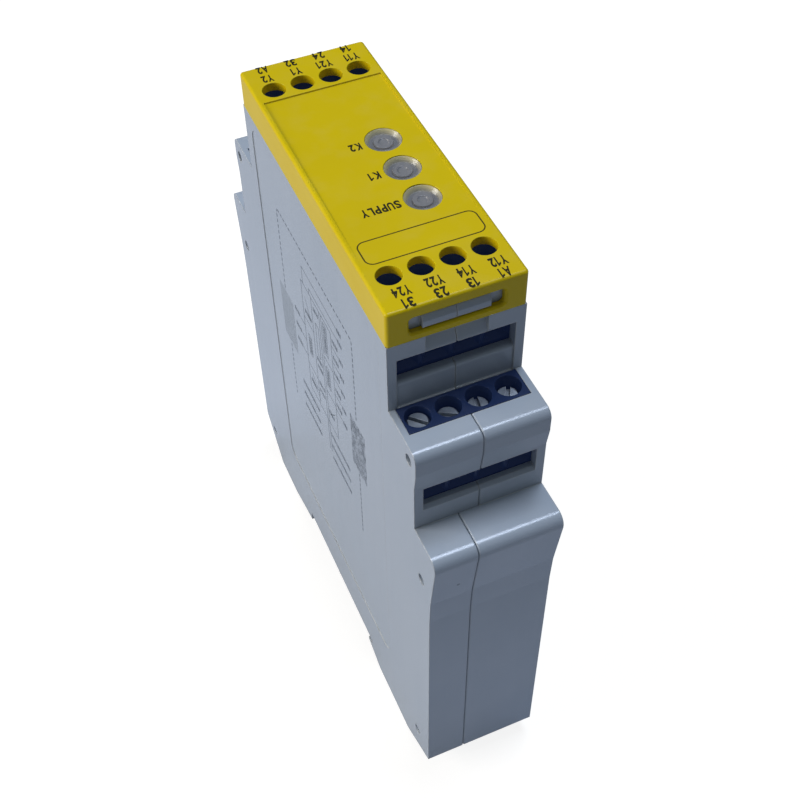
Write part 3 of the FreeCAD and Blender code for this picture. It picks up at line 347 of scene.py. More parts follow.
dust, given, gives = new_effect(
    "settled_dust", [("Amount", "Float", 0.2), ("Patch scale", "Float", 300.0)],
    [("Mask", "Float")])
facing_up = parts_of(dust, dust.nodes.new("ShaderNodeNewGeometry").outputs["Normal"])[2]
patch = noise(dust, own_place(dust), given["Patch scale"], detail=5.0)
lying = times(dust, span(dust, facing_up, DUST_LIES_FROM, 1.0), span(dust, patch, *PATCHY_NOISE))
feed(dust, gives["Mask"], times(dust, lying, given["Amount"]))

# %% [markdown]
# ### Painted shading over the height
# The grey case looks lighter at its foot than towards its top because of how the light falls, and
# this is painted into its colour: the group makes a tone a little lighter at the foot and a little
# darker above, evenly over the height.

# %% Painted shading over the height
SHADING_HEIGHT = 0.1

height_shading, given, gives = new_effect(
    "slow_fade", [("Colour", "Color", (0.5, 0.5, 0.5, 1)), ("Amount", "Float", 0.0)],
    [("Colour", "Color")])
height = parts_of(height_shading, own_place(height_shading))[2]
share = span(height_shading, height, 0.0, SHADING_HEIGHT, 0.5, -0.5)
factor = plus(height_shading, times(height_shading, share, given["Amount"]), 1.0)
feed(height_shading, gives["Colour"], vector_maths(height_shading, "SCALE", {0: given["Colour"], "Scale": factor}))

# %% [markdown]
# ### Pits
# A small fault in the skin shows as a dark dot. The group marks all points that are nearer to a
# given place than a given radius.

# %% Small pits
pits, given, gives = new_effect(
    "small_pit", [("Centre", "Vector", (0, 0, 0)), ("Radius", "Float", 0.0003)],
    [("Mask", "Float")])
away = vector_maths(pits, "DISTANCE", {0: own_place(pits), 1: given["Centre"]}, "Value")
feed(pits, gives["Mask"], maths(pits, "LESS_THAN", away, given["Radius"]))

# %% [markdown]
# ### Turned rings
# A turned screw head has fine rings round its axis. The screws stand in two rows at each end, in
# step with the terminals' pitch, so the nearest axis follows from the place alone, and the rings are
# a sine of the distance from it.

# %% Turned rings round the nearest screw's axis
PITCH = 5.0 * MM
SCREW_ROWS = (24.05 * MM, 34.0 * MM)

rings, given, gives = new_effect(
    "turned_rings", [("Ring scale", "Float", 4500.0)], [("Height", "Float")])
place = parts_of(rings, own_place(rings))
across = from_nearest(rings, place[0], PITCH)
along = maths(rings, "ABSOLUTE", place[1])
outer_row = maths(rings, "GREATER_THAN", along, sum(SCREW_ROWS) / 2)
row = plus(rings, times(rings, outer_row, SCREW_ROWS[1] - SCREW_ROWS[0]), SCREW_ROWS[0])
reach = reach_of(rings, across, maths(rings, "SUBTRACT", along, row))
feed(rings, gives["Height"], maths(rings, "SINE", times(rings, reach, given["Ring scale"])))

# %% [markdown]
# ### Painted reflection on the rim of a lens
# A lens is a shallow dish. Its thin rim is given a painted reflection of the cap's yellow, which
# lightens it most of all on the side away from us. The three lenses stand in a row, so one group
# finds the nearest in the same way.

# %% Painted reflection on the rim of the nearest lens, strongest on its far side
LENS_SIDE = 3.85 * MM
LENS_FIRST = 4.80 * MM
LENS_PITCH = 7.60 * MM
RIM_STARTS, RIM_IS_FULL = 2.2 * MM, 2.9 * MM
RIM_NEAR, RIM_FAR = -1.2 * MM, 1.4 * MM
NEAR_SIDE_REFLECTION_SHARE = 0.25

rim_reflection, given, gives = new_effect("lens_rim", [], [("Mask", "Float")])
place = parts_of(rim_reflection, own_place(rim_reflection))
across = maths(rim_reflection, "SUBTRACT", place[0], LENS_SIDE)
shifted = maths(rim_reflection, "SUBTRACT", place[1], LENS_FIRST - LENS_PITCH / 2)
along = from_nearest(rim_reflection, shifted, LENS_PITCH)
far_side_reflection = span(rim_reflection, along, RIM_NEAR, RIM_FAR, NEAR_SIDE_REFLECTION_SHARE, 1.0)
on_rim = span(rim_reflection, reach_of(rim_reflection, across, along), RIM_STARTS, RIM_IS_FULL)
feed(rim_reflection, gives["Mask"], times(rim_reflection, on_rim, far_side_reflection))

# %% [markdown]
# ## Helpers for finishes
# A finish is a material with one Principled shader. Its colours are given as a paint program gives
# them, and its relief is a bump over a normal that is rounded at the edges, so that the small edges
# catch light as moulded and turned ones do.

# %% Helpers for finishes
SOFT_EDGE_SAMPLES = 4


def new_finish(name):
    """A material with only a Principled shader, that shader, and its tree."""
    finish = bpy.data.materials.new(name)
    finish.use_nodes = True
    return finish, finish.node_tree.nodes["Principled BSDF"], finish.node_tree


def place_effect(tree, group, **values):
    """Places a node group. A space in the name of an input is written with an underscore."""
    node = tree.nodes.new("ShaderNodeGroup")
    node.node_tree = group
    for name, value in values.items():
        feed(tree, node.inputs[name.replace("_", " ")], value)
    return node.outputs


def colour(red, green, blue):
    """A colour from 0 to 255, turned by the sRGB curve into the linear one that Blender uses."""
    return tuple(v / 12.92 if v <= 0.04045 else ((v + 0.055) / 1.055) ** 2.4
                 for v in (red / 255, green / 255, blue / 255)) + (1.0,)


def give_relief(tree, shader, height, depth, strength, edge_radius=None, **settings):
    """A bump of that depth in mm, over edges that are rounded by that radius in mm."""
    values = {"Strength": strength, "Distance": depth * MM, "Height": height}
    if edge_radius is not None:
        values["Normal"] = put(tree, "ShaderNodeBevel", {"Radius": edge_radius * MM},
                               samples=SOFT_EDGE_SAMPLES).outputs[0]
    feed(tree, shader.inputs["Normal"], put(tree, "ShaderNodeBump", values, **settings).outputs[0])


def dress(finish, *names):
    """Gives CAD nodes a finish."""
    for name in names:
        mesh = nodes[name].data
        if not mesh.materials:
            mesh.materials.append(finish)
        for index in range(len(mesh.materials)):
            mesh.materials[index] = finish
    print(finish.name, "on", len(names), "nodes")


# %% [markdown]
# ## Plastics
# The housing is pale cool grey with a half gloss, the cap is a deep signal yellow with a duller
# skin, and the terminal blocks are dark navy. One function makes them all: it places the skin and its
# painted shading over the height, paints a highlight on the edges, sets the pits, lays a little dust
# and adds the relief.

# %% A moulded plastic
EDGE_HIGHLIGHT_SHARE = 0.5
PIT_SHARE = 0.6
PIT_TONE = colour(60, 64, 72)
DUST_TONE = colour(196, 192, 184)
DUST_DULLS_BY = 0.4
GRAIN_STRENGTH = 0.5
COAT_ROUGHNESS = 0.15


def moulded_plastic(name, tone, deep, gloss, edge_highlight_tone, edge_width, grain_scale, grain_depth,
                    streaks=0.2, dust_amount=0.1, coat=0.0, mirror=0.5, rounding=0.5, height_shading_amount=0.0,
                    marks=()):
    """A moulded plastic in two near tones. Gloss is its lowest and highest roughness. Widths,
    depths and the places of its marks are in mm."""
    finish, shader, tree = new_finish(name)
    skin_out = place_effect(tree, skin, Tone=colour(*tone), Deep_tone=colour(*deep),
                            Grain_scale=grain_scale, Streaks=streaks,
                            Smoothest=gloss[0], Roughest=gloss[1])
    edge = place_effect(tree, edges, Width=edge_width * MM)["Mask"]
    lying = place_effect(tree, dust, Amount=dust_amount)["Mask"]
    # painted shading: the tone is lighter at the foot and darker at the top
    height_shaded = place_effect(tree, height_shading, Colour=skin_out["Colour"], Amount=height_shading_amount)["Colour"]
    # painted highlight: the edges are lightened towards the edge tone
    face = blend_colours(tree, times(tree, edge, EDGE_HIGHLIGHT_SHARE), height_shaded, colour(*edge_highlight_tone))
    for mark in marks:
        pit = place_effect(tree, pits, Centre=tuple(v * MM for v in mark))["Mask"]
        face = blend_colours(tree, times(tree, pit, PIT_SHARE), face, PIT_TONE)
    dulled = plus(tree, skin_out["Roughness"], times(tree, lying, DUST_DULLS_BY))
    feed(tree, shader.inputs["Base Color"], blend_colours(tree, lying, face, DUST_TONE))
    feed(tree, shader.inputs["Roughness"], dulled)
    give_relief(tree, shader, skin_out["Height"], grain_depth, GRAIN_STRENGTH,
                edge_width * rounding)
    shader.inputs["Coat Weight"].default_value = coat
    shader.inputs["Coat Roughness"].default_value = COAT_ROUGHNESS
    shader.inputs["Specular IOR Level"].default_value = mirror
    return finish


# %% The housing, the cap and the latch
SMALL_PIT = (-6.54, -47.53, 66.95)

# The grey's height shading amount paints its foot lighter and its top darker.
grey = moulded_plastic(
    "satin_grey", tone=(180, 187, 195), deep=(173, 181, 190), gloss=(0.15, 0.25),
    edge_highlight_tone=(232, 228, 216), edge_width=0.35, grain_scale=5200.0, grain_depth=0.012,
    streaks=0.25, dust_amount=0.06, rounding=0.95, height_shading_amount=0.25, marks=[SMALL_PIT])
yellow = moulded_plastic(
    "signal_yellow", tone=(219, 189, 0), deep=(213, 183, 0), gloss=(0.32, 0.40),
    edge_highlight_tone=(222, 203, 14), edge_width=0.4, grain_scale=4200.0, grain_depth=0.010,
    streaks=0.1, dust_amount=0.03, mirror=0.22)
black = moulded_plastic(
    "latch_black", tone=(38, 38, 41), deep=(30, 30, 33), gloss=(0.42, 0.55),
    edge_highlight_tone=(62, 62, 66), edge_width=0.3, grain_scale=5000.0, grain_depth=0.014,
    dust_amount=0.2)
dress(grey, "case_left", "case_right")
dress(yellow, "front_cover")
dress(black, "rail_latch")

# %% [markdown]
# ### Dark plastics
# The terminal blocks' navy carries a very faint blue emission, a painted glow that lifts the deep
# wells of the blocks out of their shade, so that they stay blue where they would render black. The
# relays, the pin headers and the capacitor's sleeve are plain.

# %% Terminal blocks, relays, headers and the capacitor's sleeve
BLOCKS = [f"{end}_{level}" for end in ("near", "far") for level in ("upper", "lower")]
PAINTED_GLOW_BLUE = (0.16, 0.30, 1.0, 1)
PAINTED_GLOW_STRENGTH = 0.014

navy = moulded_plastic(
    "terminal_navy", tone=(18, 37, 72), deep=(13, 30, 62), gloss=(0.28, 0.4),
    edge_highlight_tone=(38, 54, 88), edge_width=0.25, grain_scale=6000.0, grain_depth=0.010,
    streaks=0.1, dust_amount=0.03, mirror=0.3)
navy_shader = navy.node_tree.nodes["Principled BSDF"]
# painted glow: a faint blue emission that lightens the navy where it lies in shade
navy_shader.inputs["Emission Color"].default_value = PAINTED_GLOW_BLUE
navy_shader.inputs["Emission Strength"].default_value = PAINTED_GLOW_STRENGTH
inner_black = moulded_plastic(
    "inner_black", tone=(30, 30, 32), deep=(24, 24, 26), gloss=(0.4, 0.5),
    edge_highlight_tone=(52, 52, 54), edge_width=0.2, grain_scale=5000.0, grain_depth=0.010)
sleeve = moulded_plastic(
    "capacitor_sleeve", tone=(40, 44, 58), deep=(32, 36, 50), gloss=(0.25, 0.35),
    edge_highlight_tone=(150, 152, 156), edge_width=0.3, grain_scale=3000.0, grain_depth=0.006, coat=0.4)
dress(navy, *["terminal_block_" + block for block in BLOCKS])
dress(inner_black, "relay_k1", "relay_k2", *["pin_header_" + block for block in BLOCKS])
dress(sleeve, "smoothing_capacitor")

# %% [markdown]
# ## Lenses and diodes
# The indicator lenses are milky: light spreads inside them, so no diode shows when it is off. A
# glass shader would make them clear. A satin plastic that lets some light spread at a depth of half a
# millimetre looks like the real frosted disc. A thin coat gives its rim a small bright line.

# %% Milky lenses and clear diodes
SPREAD_RED_GREEN_BLUE = (1.0, 1.0, 1.1)
SPREAD_DEPTH = 0.5 * MM
MILKY_GLOSS = (0.3, 0.42)
LAMPS = ("k2", "k1", "supply")


def milky(name, tone, deep, scatter, coat, rim_tone):
    """A frosted plastic in which light spreads. Its thin rim gets a painted reflection of the colour
    round it.
    """
    finish, shader, tree = new_finish(name)
    skin_out = place_effect(tree, skin, Tone=colour(*tone), Deep_tone=colour(*deep),
                            Cloud_scale=400.0, Streaks=0.0,
                            Smoothest=MILKY_GLOSS[0], Roughest=MILKY_GLOSS[1])
    rim = place_effect(tree, rim_reflection)["Mask"]
    # painted reflection: the rim is blended towards the rim tone
    face = blend_colours(tree, rim, skin_out["Colour"], colour(*rim_tone))
    feed(tree, shader.inputs["Base Color"], face)
    feed(tree, shader.inputs["Roughness"], skin_out["Roughness"])
    give_relief(tree, shader, skin_out["Height"], depth=0.008, strength=0.4, edge_radius=0.12)
    shader.inputs["Subsurface Weight"].default_value = scatter
    shader.inputs["Subsurface Radius"].default_value = SPREAD_RED_GREEN_BLUE
    shader.inputs["Subsurface Scale"].default_value = SPREAD_DEPTH
    shader.inputs["Coat Weight"].default_value = coat
    return finish


# The lens's rim tone is a painted reflection of the yellow cap; the diode's equals its own tone.
lens_finish = milky("milky_lens", tone=(136, 133, 132), deep=(125, 122, 122),
                    scatter=0.3, coat=0.3, rim_tone=(206, 192, 140))
diode_finish = milky("diode_resin", tone=(196, 214, 190), deep=(184, 204, 178),
                     scatter=0.5, coat=0.6, rim_tone=(196, 214, 190))
dress(lens_finish, *["lens_" + lamp for lamp in LAMPS])
dress(diode_finish, *["led_" + lamp for lamp in LAMPS])

# %% [markdown]
# ## Metal
# The screws are zinc plated steel. Their heads were turned, so fine rings run round each axis. A
# painted highlight lightens the edges of screws, cages and bars. The rings' group finds each screw's
# own centre, so one material serves all sixteen screws. Cages and bars were stamped, so their rings
# have no depth.

# %% Zinc and copper
POLES = range(1, 5)
METAL_EDGE_HIGHLIGHT = colour(235, 236, 238)


def plated_metal(name, tone, deep, gloss, ring_depth):
    """A plated metal with turned rings, a painted highlight on its edges, and dulled in patches."""
    finish, shader, tree = new_finish(name)
    shader.inputs["Metallic"].default_value = 1.0
    skin_out = place_effect(tree, skin, Tone=colour(*tone), Deep_tone=colour(*deep),
                            Cloud_scale=900.0, Streaks=0.0, Smoothest=gloss[0], Roughest=gloss[1])
    ring = place_effect(tree, rings)["Height"]
    edge = place_effect(tree, edges, Width=0.2 * MM)["Mask"]
    # painted highlight: the edges are lightened towards a near white
    feed(tree, shader.inputs["Base Color"],
         blend_colours(tree, edge, skin_out["Colour"], METAL_EDGE_HIGHLIGHT))
    feed(tree, shader.inputs["Roughness"], skin_out["Roughness"])
    give_relief(tree, shader, ring, ring_depth, strength=0.6, edge_radius=0.08)
    return finish


zinc_screw = plated_metal("zinc_screw", tone=(188, 192, 196), deep=(156, 161, 168),
                          gloss=(0.34, 0.55), ring_depth=0.008)
zinc_cage = plated_metal("zinc_cage", tone=(190, 190, 186), deep=(160, 160, 158),
                         gloss=(0.3, 0.5), ring_depth=0.0)
tinned_copper = plated_metal("tinned_copper", tone=(214, 168, 138), deep=(190, 140, 108),
                             gloss=(0.25, 0.4), ring_depth=0.0)
dress(zinc_screw, *[f"screw_{block}_{pole}" for block in BLOCKS for pole in POLES])
dress(zinc_cage, *[f"clamp_cage_{block}_{pole}" for block in BLOCKS for pole in POLES])
dress(tinned_copper, *["contact_bars_" + block for block in BLOCKS])

# %% [markdown]
# ## Circuit boards
# A board is green because of its solder mask, a thin lacquer over copper tracks. The tracks show as
# slightly paler, raised lines. Modelled tracks would be hundreds of thin strips inside a closed case,
# so a brick pattern drawn in the board's own plane stands for them, and its joints are the gaps
# between the tracks.

# %% Solder mask over tracks
mask_finish, shader, tree = new_finish("solder_mask")
place = parts_of(tree, own_place(tree))
plane = put(tree, "ShaderNodeCombineXYZ", {0: place[1], 1: plus(tree, place[2], place[0])})
tracks = put(tree, "ShaderNodeTexBrick", {
    "Vector": plane.outputs[0], "Color1": colour(24, 104, 62), "Color2": colour(20, 94, 56),
    "Mortar": colour(12, 66, 40), "Scale": 1.0, "Mortar Size": 0.2 * MM,
    "Brick Width": 11.0 * MM, "Row Height": 1.8 * MM}).outputs
feed(tree, shader.inputs["Base Color"], tracks["Color"])
feed(tree, shader.inputs["Roughness"],
     place_effect(tree, skin, Smoothest=0.22, Roughest=0.34)["Roughness"])
give_relief(tree, shader, tracks["Fac"], depth=0.03, strength=0.5, invert=True)
dress(mask_finish, "main_board", "display_board")

# %% [markdown]
# ## Ink
# The cap and the left side are printed. Ink lies on the plastic as a film of about a hundredth of a
# millimetre, so it is modelled as flat pieces that height above the face. Its colour is nearly even,
# but it is thinner in places, which the same skin group gives. It shines less than the plastic.

# %% The inks
INK_GLOSS = (0.5, 0.62)
INK_MIRROR = 0.2


def ink(name, tone, thin_tone):
    """A printed film with small thin places."""
    finish, shader, tree = new_finish(name)
    skin_out = place_effect(tree, skin, Tone=colour(*tone), Deep_tone=colour(*thin_tone),
                            Cloud_scale=1500.0, Streaks=0.0, Grain_scale=9000.0,
                            Smoothest=INK_GLOSS[0], Roughest=INK_GLOSS[1])
    feed(tree, shader.inputs["Base Color"], skin_out["Colour"])
    feed(tree, shader.inputs["Roughness"], skin_out["Roughness"])
    give_relief(tree, shader, skin_out["Height"], depth=0.004, strength=0.3)
    shader.inputs["Specular IOR Level"].default_value = INK_MIRROR
    return finish


cap_ink = ink("cap_ink", (36, 32, 10), (54, 48, 10))
outline_ink = ink("outline_ink", (70, 60, 8), (88, 76, 8))
side_ink = ink("side_ink", (106, 113, 122), (124, 131, 140))
side_pale_ink = ink("side_pale_ink", (146, 153, 162), (158, 166, 175))
side_dark_ink = ink("side_dark_ink", (84, 91, 100), (104, 111, 120))
print("inks:", [made.name for made in bpy.data.materials if made.name.endswith("_ink")])

# %% [markdown]
# ## Lettering
# Blender's text objects give letters as curves. Each letter is made a mesh first and scaled to the
# letter height that was measured on the real cap. The words are laid out letter by letter, so that
# they fill their measured widths, and turned so that they read from the far side, as the print does.
# They stand in one table, all in millimetres: word, middle across, middle along, width and height.

# %% The cap's face and its words
FILM = 0.01 * MM
FRONT = 114.5
FIELD_END = 21.3
FIELD_DEPTH = 0.25
WORDS = (
    ("Y24", -7.14, -27.70, 2.75, 1.95), ("Y22", -2.10, -27.70, 2.75, 1.95),
    ("Y14", 2.84, -27.70, 2.65, 1.95), ("Y12", 7.89, -27.70, 2.65, 1.95),
    ("31", -7.07, -30.10, 1.75, 1.95), ("23", -2.12, -30.10, 1.95, 1.95),
    ("13", 2.77, -30.10, 1.75, 1.95), ("A1", 7.82, -30.10, 1.75, 1.95),
    ("Y2", -7.48, 27.45, 1.95, 1.95), ("Y1", -2.35, 27.45, 1.75, 1.95),
    ("Y21", 2.64, 27.45, 2.65, 1.95), ("Y11", 7.60, 27.45, 2.50, 1.95),
    ("A2", -7.43, 30.10, 1.95, 1.95), ("32", -2.47, 30.05, 1.95, 1.95),
    ("24", 2.57, 30.10, 1.95, 1.95), ("14", 7.46, 30.10, 1.75, 1.95),
    ("K2", -0.95, 4.75, 1.95, 1.80), ("K1", -0.90, -2.95, 1.80, 1.80),
    ("SUPPLY", -2.98, -10.45, 6.30, 1.80),
)


def front_height(along):
    """Height of the cap's face in mm: the middle field sinks slowly towards the far end."""
    if abs(along) > FIELD_END:
        return FRONT
    return FRONT - FIELD_DEPTH * (along + FIELD_END) / (2 * FIELD_END)


print("words on the cap:", len(WORDS))

# %% Letters as meshes
LETTER_WEIGHT = 0.036
CURVE_STEPS = 4
GLYPH_WIDTH = {"1": 0.42, "2": 0.62, "3": 0.62, "4": 0.66, "A": 0.74, "K": 0.70,
               "L": 0.54, "P": 0.62, "S": 0.64, "U": 0.66, "Y": 0.72}
GLYPH_GAP = 0.10
FLAGGED_ONE = ((0.60, 0), (1, 0), (1, 1), (0.72, 1), (0, 0.80), (0, 0.62), (0.60, 0.76))


def glyph_mesh(letter):
    """One letter as a flat mesh in a square from 0 to 1. The figure one has a flag, unlike the
    font's."""
    if letter == "1":
        mesh = bpy.data.meshes.new("glyph")
        mesh.from_pydata([(x, y, 0) for x, y in FLAGGED_ONE], [], [tuple(range(len(FLAGGED_ONE)))])
        return mesh
    data = bpy.data.curves.new("glyph", "FONT")
    data.body = letter
    data.offset = LETTER_WEIGHT
    data.resolution_u = CURVE_STEPS
    carrier = add_object("glyph", data)
    bpy.context.view_layer.update()
    mesh = bpy.data.meshes.new_from_object(carrier)
    bpy.data.objects.remove(carrier)
    low = [min(v.co[axis] for v in mesh.vertices) for axis in (0, 1)]
    high = [max(v.co[axis] for v in mesh.vertices) for axis in (0, 1)]
    for v in mesh.vertices:
        v.co = ((v.co.x - low[0]) / (high[0] - low[0]), (v.co.y - low[1]) / (high[1] - low[1]), 0)
    return mesh


def printed_word(text, across, along, width, height):
    """The letters of a word as flat meshes on the cap, reading from the far side."""
    natural = sum(GLYPH_WIDTH[letter] for letter in text) + GLYPH_GAP * (len(text) - 1)
    start, meshes = 0.0, []
    for letter in text:
        mesh = glyph_mesh(letter)
        for v in mesh.vertices:
            right = ((start + v.co.x * GLYPH_WIDTH[letter]) / natural - 0.5) * width
            up = (v.co.y - 0.5) * height
            v.co = ((across - right) * MM, (along - up) * MM,
                    front_height(along - up) * MM + FILM)
        start += GLYPH_WIDTH[letter] + GLYPH_GAP
        meshes.append(mesh)
    return meshes


# %% Print the cap's lettering
def join_pieces(pieces, name, finish):
    """Makes one mesh of several, with one finish, and lets it ride on the relay."""
    joined = bpy.data.meshes.new(name)
    points, faces = [], []
    for piece in pieces:
        start = len(points)
        points += [tuple(v.co) for v in piece.vertices]
        faces += [[start + corner for corner in face.vertices] for face in piece.polygons]
    joined.from_pydata(points, [], faces)
    joined.materials.append(finish)
    body = add_object(name, joined)
    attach(body, "relay")
    print(name, "faces:", len(faces))


letters = [mesh for word in WORDS for mesh in printed_word(*word)]
join_pieces(letters, "cover_lettering", cap_ink)

# %% [markdown]
# ## Printed lines
# The write-on field on the cap and the wiring diagram on the side are lines of even width. Geometry
# Nodes suit them: a bare wire goes in, and each of its edges comes out as a flat bar that lies on the
# face. With a pitch above nothing, the wire is first cut to that pitch, and each bar inks only a
# share of it, which makes dashes. The same tree prints the outline, the diagram, its dashed frame
# and its rows of small text.

# %% The printer's sockets
PRINTER_SOCKETS = (
    ("Wire", "Geometry", None), ("Line width", "Float", 0.2 * MM), ("Film", "Float", FILM),
    ("Pitch", "Float", 0.0), ("Ink share", "Float", 1.0), ("Unevenness", "Float", 0.0),
    ("Seed", "Int", 4), ("Face normal", "Vector", (0, 0, 1)), ("Ink", "Material", None))

line_printer = bpy.data.node_groups.new("print_lines", "GeometryNodeTree")
for label, kind, start in PRINTER_SOCKETS:
    socket = line_printer.interface.new_socket(
        name=label, in_out="INPUT", socket_type="NodeSocket" + kind)
    if start is not None:
        socket.default_value = start
line_printer.interface.new_socket(name="Print", in_out="OUTPUT", socket_type="NodeSocketGeometry")
print("line printer takes", [label for label, kind, start in PRINTER_SOCKETS])

# %% The printer's three steps: cut the wire, find its edges, work out how much of each is inked
SHORTEST_PITCH = 0.05 * MM
AS_NUMBER = 1


def cut_to_pitch(tree, wire, pitch):
    """The wire in steps of that pitch, or as it came if the pitch is nothing."""
    as_curve = put(tree, "GeometryNodeMeshToCurve", {0: wire}).outputs[0]
    step = maths(tree, "MAXIMUM", pitch, SHORTEST_PITCH)
    cut = put(tree, "GeometryNodeResampleCurve", {"Curve": as_curve, "Length": step},
              mode="LENGTH").outputs[0]
    cut_wire = put(tree, "GeometryNodeCurveToMesh", {0: cut}).outputs[0]
    dashed = put(tree, "FunctionNodeCompare", {0: pitch, 1: 0.0},
                 operation="GREATER_THAN").outputs[0]
    return put(tree, "GeometryNodeSwitch", {
        "Switch": dashed, "False": wire, "True": cut_wire}).outputs[0]


def edges_as_points(tree, wire):
    """A point in the middle of each edge, and the run from the edge's one end to the other."""
    ends = tree.nodes.new("GeometryNodeInputMeshEdgeVertices").outputs
    run = vector_maths(tree, "SUBTRACT", {0: ends["Position 2"], 1: ends["Position 1"]})
    held = tree.nodes.new("GeometryNodeCaptureAttribute")
    held.domain = "EDGE"
    held.capture_items.new("VECTOR", "Run")
    feed(tree, held.inputs["Geometry"], wire)
    feed(tree, held.inputs["Run"], run)
    points = put(tree, "GeometryNodeMeshToPoints", {"Mesh": held.outputs["Geometry"]},
                 mode="EDGES").outputs[0]
    return points, held.outputs["Run"]


def inked_length(tree, run, given):
    """A share of the run's length, and by chance less of it where the print is uneven."""
    length = vector_maths(tree, "LENGTH", {0: run}, "Value")
    chance = put(tree, "FunctionNodeRandomValue", {"Seed": given["Seed"]},
                 data_type="FLOAT").outputs[AS_NUMBER]
    shrink = maths(tree, "SUBTRACT", 1.0, times(tree, chance, given["Unevenness"]))
    return times(tree, times(tree, length, given["Ink share"]), shrink)


# %% Put the printer together
def finish_printer(tree):
    """Edges of a wire become flat bars on a face with a given normal."""
    given = tree.nodes.new("NodeGroupInput").outputs
    points, run = edges_as_points(tree, cut_to_pitch(tree, given["Wire"], given["Pitch"]))
    turned = put(tree, "FunctionNodeAxesToRotation", {0: run, 1: given["Face normal"]},
                 primary_axis="X", secondary_axis="Z").outputs[0]
    size = put(tree, "ShaderNodeCombineXYZ", {
        0: inked_length(tree, run, given), 1: given["Line width"], 2: given["Film"]}).outputs[0]
    bar = put(tree, "GeometryNodeMeshCube", {"Size": (1, 1, 1)}).outputs[0]
    bars = put(tree, "GeometryNodeInstanceOnPoints", {
        "Points": points, "Instance": bar, "Rotation": turned, "Scale": size}).outputs[0]
    solid = put(tree, "GeometryNodeRealizeInstances", {0: bars}).outputs[0]
    inked = put(tree, "GeometryNodeSetMaterial", {
        "Geometry": solid, "Material": given["Ink"]}).outputs[0]
    feed(tree, tree.nodes.new("NodeGroupOutput").inputs["Print"], inked)


finish_printer(line_printer)
print("line printer nodes:", len(line_printer.nodes))


# %% Run the line printer
def print_lines(name, points, wire_edges, slot, **values):
    """Prints one wire, whose points are in mm, and makes the result a plain mesh."""
    wire_mesh = bpy.data.meshes.new(name)
    wire_mesh.from_pydata([tuple(v * MM for v in point) for point in points], wire_edges, [])
    body = add_object(name, wire_mesh)
    printer = body.modifiers.new("print_lines", "NODES")
    printer.node_group = line_printer
    for item in line_printer.interface.items_tree:
        value_name = item.name.replace(" ", "_")
        if item.in_out == "INPUT" and value_name in values:
            printer[item.identifier] = values[value_name]
    bpy.context.view_layer.update()
    evaluated = body.evaluated_get(bpy.context.evaluated_depsgraph_get())
    body.data = bpy.data.meshes.new_from_object(evaluated)
    body.data.name = name
    body.modifiers.clear()
    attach(body, "relay")
    print(name, "faces:", len(body.data.polygons))


def chain(points):
    """The edges that join points in their order."""
    return [(k, k + 1) for k in range(len(points) - 1)]


# %% [markdown]
# ## The write-on field
# Users write the relay's tag in a thin-lined field with round corners. Its corners are quarter
# circles of short edges, and each point takes the height of the sloping face under it.

# %% Outline the write-on field
HALF_FILM_MM = 0.005
UPWARD = (0.0, 0.0, 1.0)
FIELD_HALF, FIELD_NEAR, FIELD_FAR = 9.5, -21.1, -16.1
FIELD_ROUND = 1.3
CORNER_STEPS = 7
inner_half, inner_near, inner_far = (
    FIELD_HALF - FIELD_ROUND, FIELD_NEAR + FIELD_ROUND, FIELD_FAR - FIELD_ROUND)

outline = []
for middle_x, middle_y, start in ((inner_half, inner_far, 0), (-inner_half, inner_far, 90),
                                  (-inner_half, inner_near, 180), (inner_half, inner_near, 270)):
    for step in range(CORNER_STEPS + 1):
        angle = math.radians(start + 90 * step / CORNER_STEPS)
        x = middle_x + FIELD_ROUND * math.cos(angle)
        y = middle_y + FIELD_ROUND * math.sin(angle)
        outline.append((x, y, front_height(y) + HALF_FILM_MM))
print_lines("write_on_outline", outline, chain(outline) + [(len(outline) - 1, 0)], "latch_black",
            Line_width=0.21 * MM, Film=FILM, Ink=outline_ink, Face_normal=UPWARD)

# %% [markdown]
# ## The diagram on the side
# The left side carries a small wiring diagram: a dashed frame, a block with coils and contacts,
# leads to the terminals and rows of fine text. At this size nobody reads it, so it is drawn as
# generic shapes that have the right weight of grey: strokes for leads, closed boxes for coils and
# short dashes for text. All places are given in millimetres, along the relay and above its foot.

# %% Helpers for the side print
PANEL_FACE = -11.03
SIDE = PANEL_FACE - HALF_FILM_MM
LEFTWARD = (-1.0, 0.0, 0.0)


def print_on_side(name, lines, **values):
    """Prints several open lines on the left side."""
    points, wire_edges = [], []
    for line in lines:
        wire_edges += [(len(points) + a, len(points) + b) for a, b in chain(line)]
        points += [(SIDE, along, height) for along, height in line]
    print_lines(name, points, wire_edges, "relay_black", Film=FILM, Face_normal=LEFTWARD, **values)


def closed_box(left, right, low, high):
    """A closed rectangle as one line."""
    return ((left, low), (right, low), (right, high), (left, high), (left, low))


def level(left, right, heights):
    """Level lines between two places, one at each height."""
    return [((left, height), (right, height)) for height in heights]


# %% Print the frame and the diagram
FRAME = (((18.4, 75.6), (18.4, 95), (-16.3, 95), (-16.3, 75.4)),
         ((18.4, 61), (18.4, 46)), ((-16.3, 61), (-16.3, 43)))
LEADS_NEAR = (84, 80, 76, 71.6, 67.6)
LEADS_FAR = (75.6, 71.6, 67.6)
SUPPLY_HEIGHTS = (91, 88.4)

print_on_side("side_frame", FRAME, Line_width=0.34 * MM, Pitch=1.3 * MM, Ink_share=0.62,
              Ink=side_dark_ink)

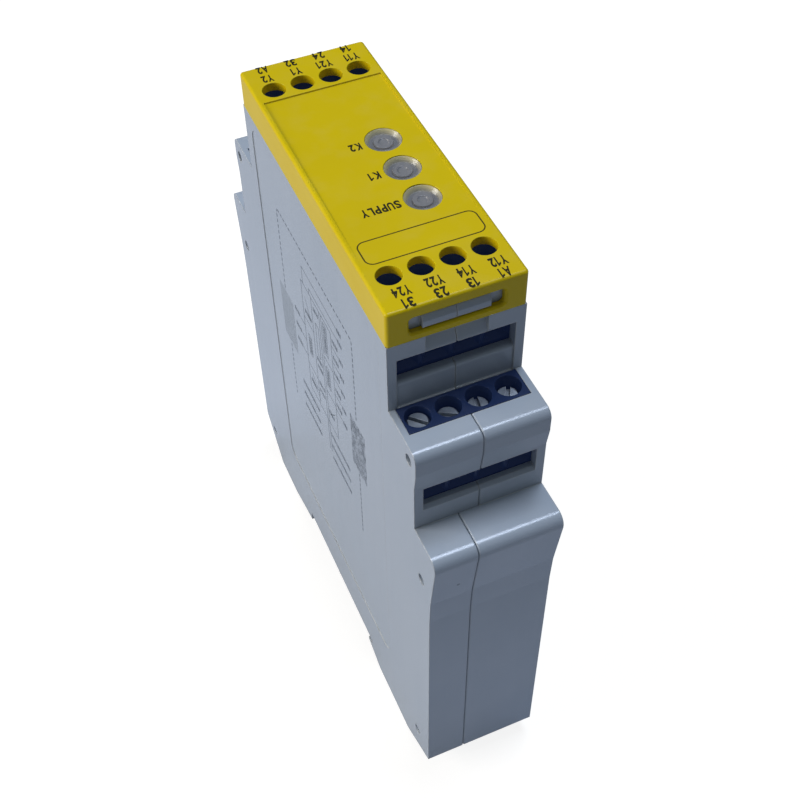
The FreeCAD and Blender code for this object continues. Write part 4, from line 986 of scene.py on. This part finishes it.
block_and_coils = [closed_box(8, -6, 59, 87), closed_box(-2.2, -3.9, 78.5, 86),
                   closed_box(-2.2, -3.9, 70, 75), closed_box(6.4, 5.0, 70, 75),
                   closed_box(1.8, 0.4, 74, 82)]
supply_wires = [((7, 87), (7, 91), (-9.6, 91)), ((4, 87), (4, 88.4), (-9.6, 88.4))]
uprights = [((3.2, 87), (3.2, 59)), ((-0.6, 87), (-0.6, 50)), ((-1.5, 87), (-1.5, 50))]
branches = level(8, 3.2, (78.2, 66)) + level(-1.5, -6, (77, 68))
contacts = [((6.6, 84), (4.4, 80)), ((2.6, 62), (6.6, 64.5)), ((-2.4, 62), (-5, 64.5)),
            ((2.6, 60.4), (6.6, 62.9))]
leads = level(-6, -9.2, LEADS_NEAR) + level(8, 10.4, LEADS_FAR)
print_on_side("side_diagram",
              block_and_coils + supply_wires + uprights + branches + contacts + leads,
              Line_width=0.2 * MM, Ink=side_ink)

# %% Print the rows of small text
FOOTNOTES = (55.8, 52.4, 48.8)
ABOVE_LEAD = 1.7

terminal_names = level(-9.4, -11.4, LEADS_NEAR + SUPPLY_HEIGHTS) + level(13.4, 10.6, LEADS_FAR)
footnotes = level(13, 4, FOOTNOTES) + level(-1.8, -11.4, FOOTNOTES)
lead_names = level(-6.4, -9.2, [height + ABOVE_LEAD for height in LEADS_NEAR])
inner_names = level(2.6, -0.2, (85, 72.6, 70.6, 66, 64))
coil_names = [((-3.05, 79), (-3.05, 85.6)), ((-3.05, 70.4), (-3.05, 74.6)),
              ((5.7, 70.4), (5.7, 74.6))]
contact_names = [((7.4, 62), (4.2, 62)), ((-1.8, 62.6), (-4.6, 62.6)), ((7.2, 80.4), (3.8, 80.4))]
print_on_side("side_text",
              terminal_names + footnotes + lead_names + inner_names + coil_names + contact_names,
              Line_width=0.95 * MM, Pitch=0.62 * MM, Ink_share=0.74, Unevenness=0.4,
              Ink=side_dark_ink)

# %% Print the two filled fields
RULE = 0.55
FAR_FIELD = (21.6, 14.6, 61.4, 75.2)
NEAR_FIELD = (-13.3, -20.0, 61.3, 75.0)


def ruled_field(left, right, low, high):
    """A field filled with rules one under another."""
    count = int((high - low) / RULE)
    return level(left, right, [low + (k + 0.5) * RULE for k in range(count)])


print_on_side("side_field_far", ruled_field(*FAR_FIELD), Line_width=0.40 * MM, Ink=side_pale_ink)
print_on_side("side_field_near", ruled_field(*NEAR_FIELD), Line_width=0.42 * MM, Pitch=0.56 * MM,
              Ink_share=0.9, Unevenness=0.9, Ink=side_dark_ink)
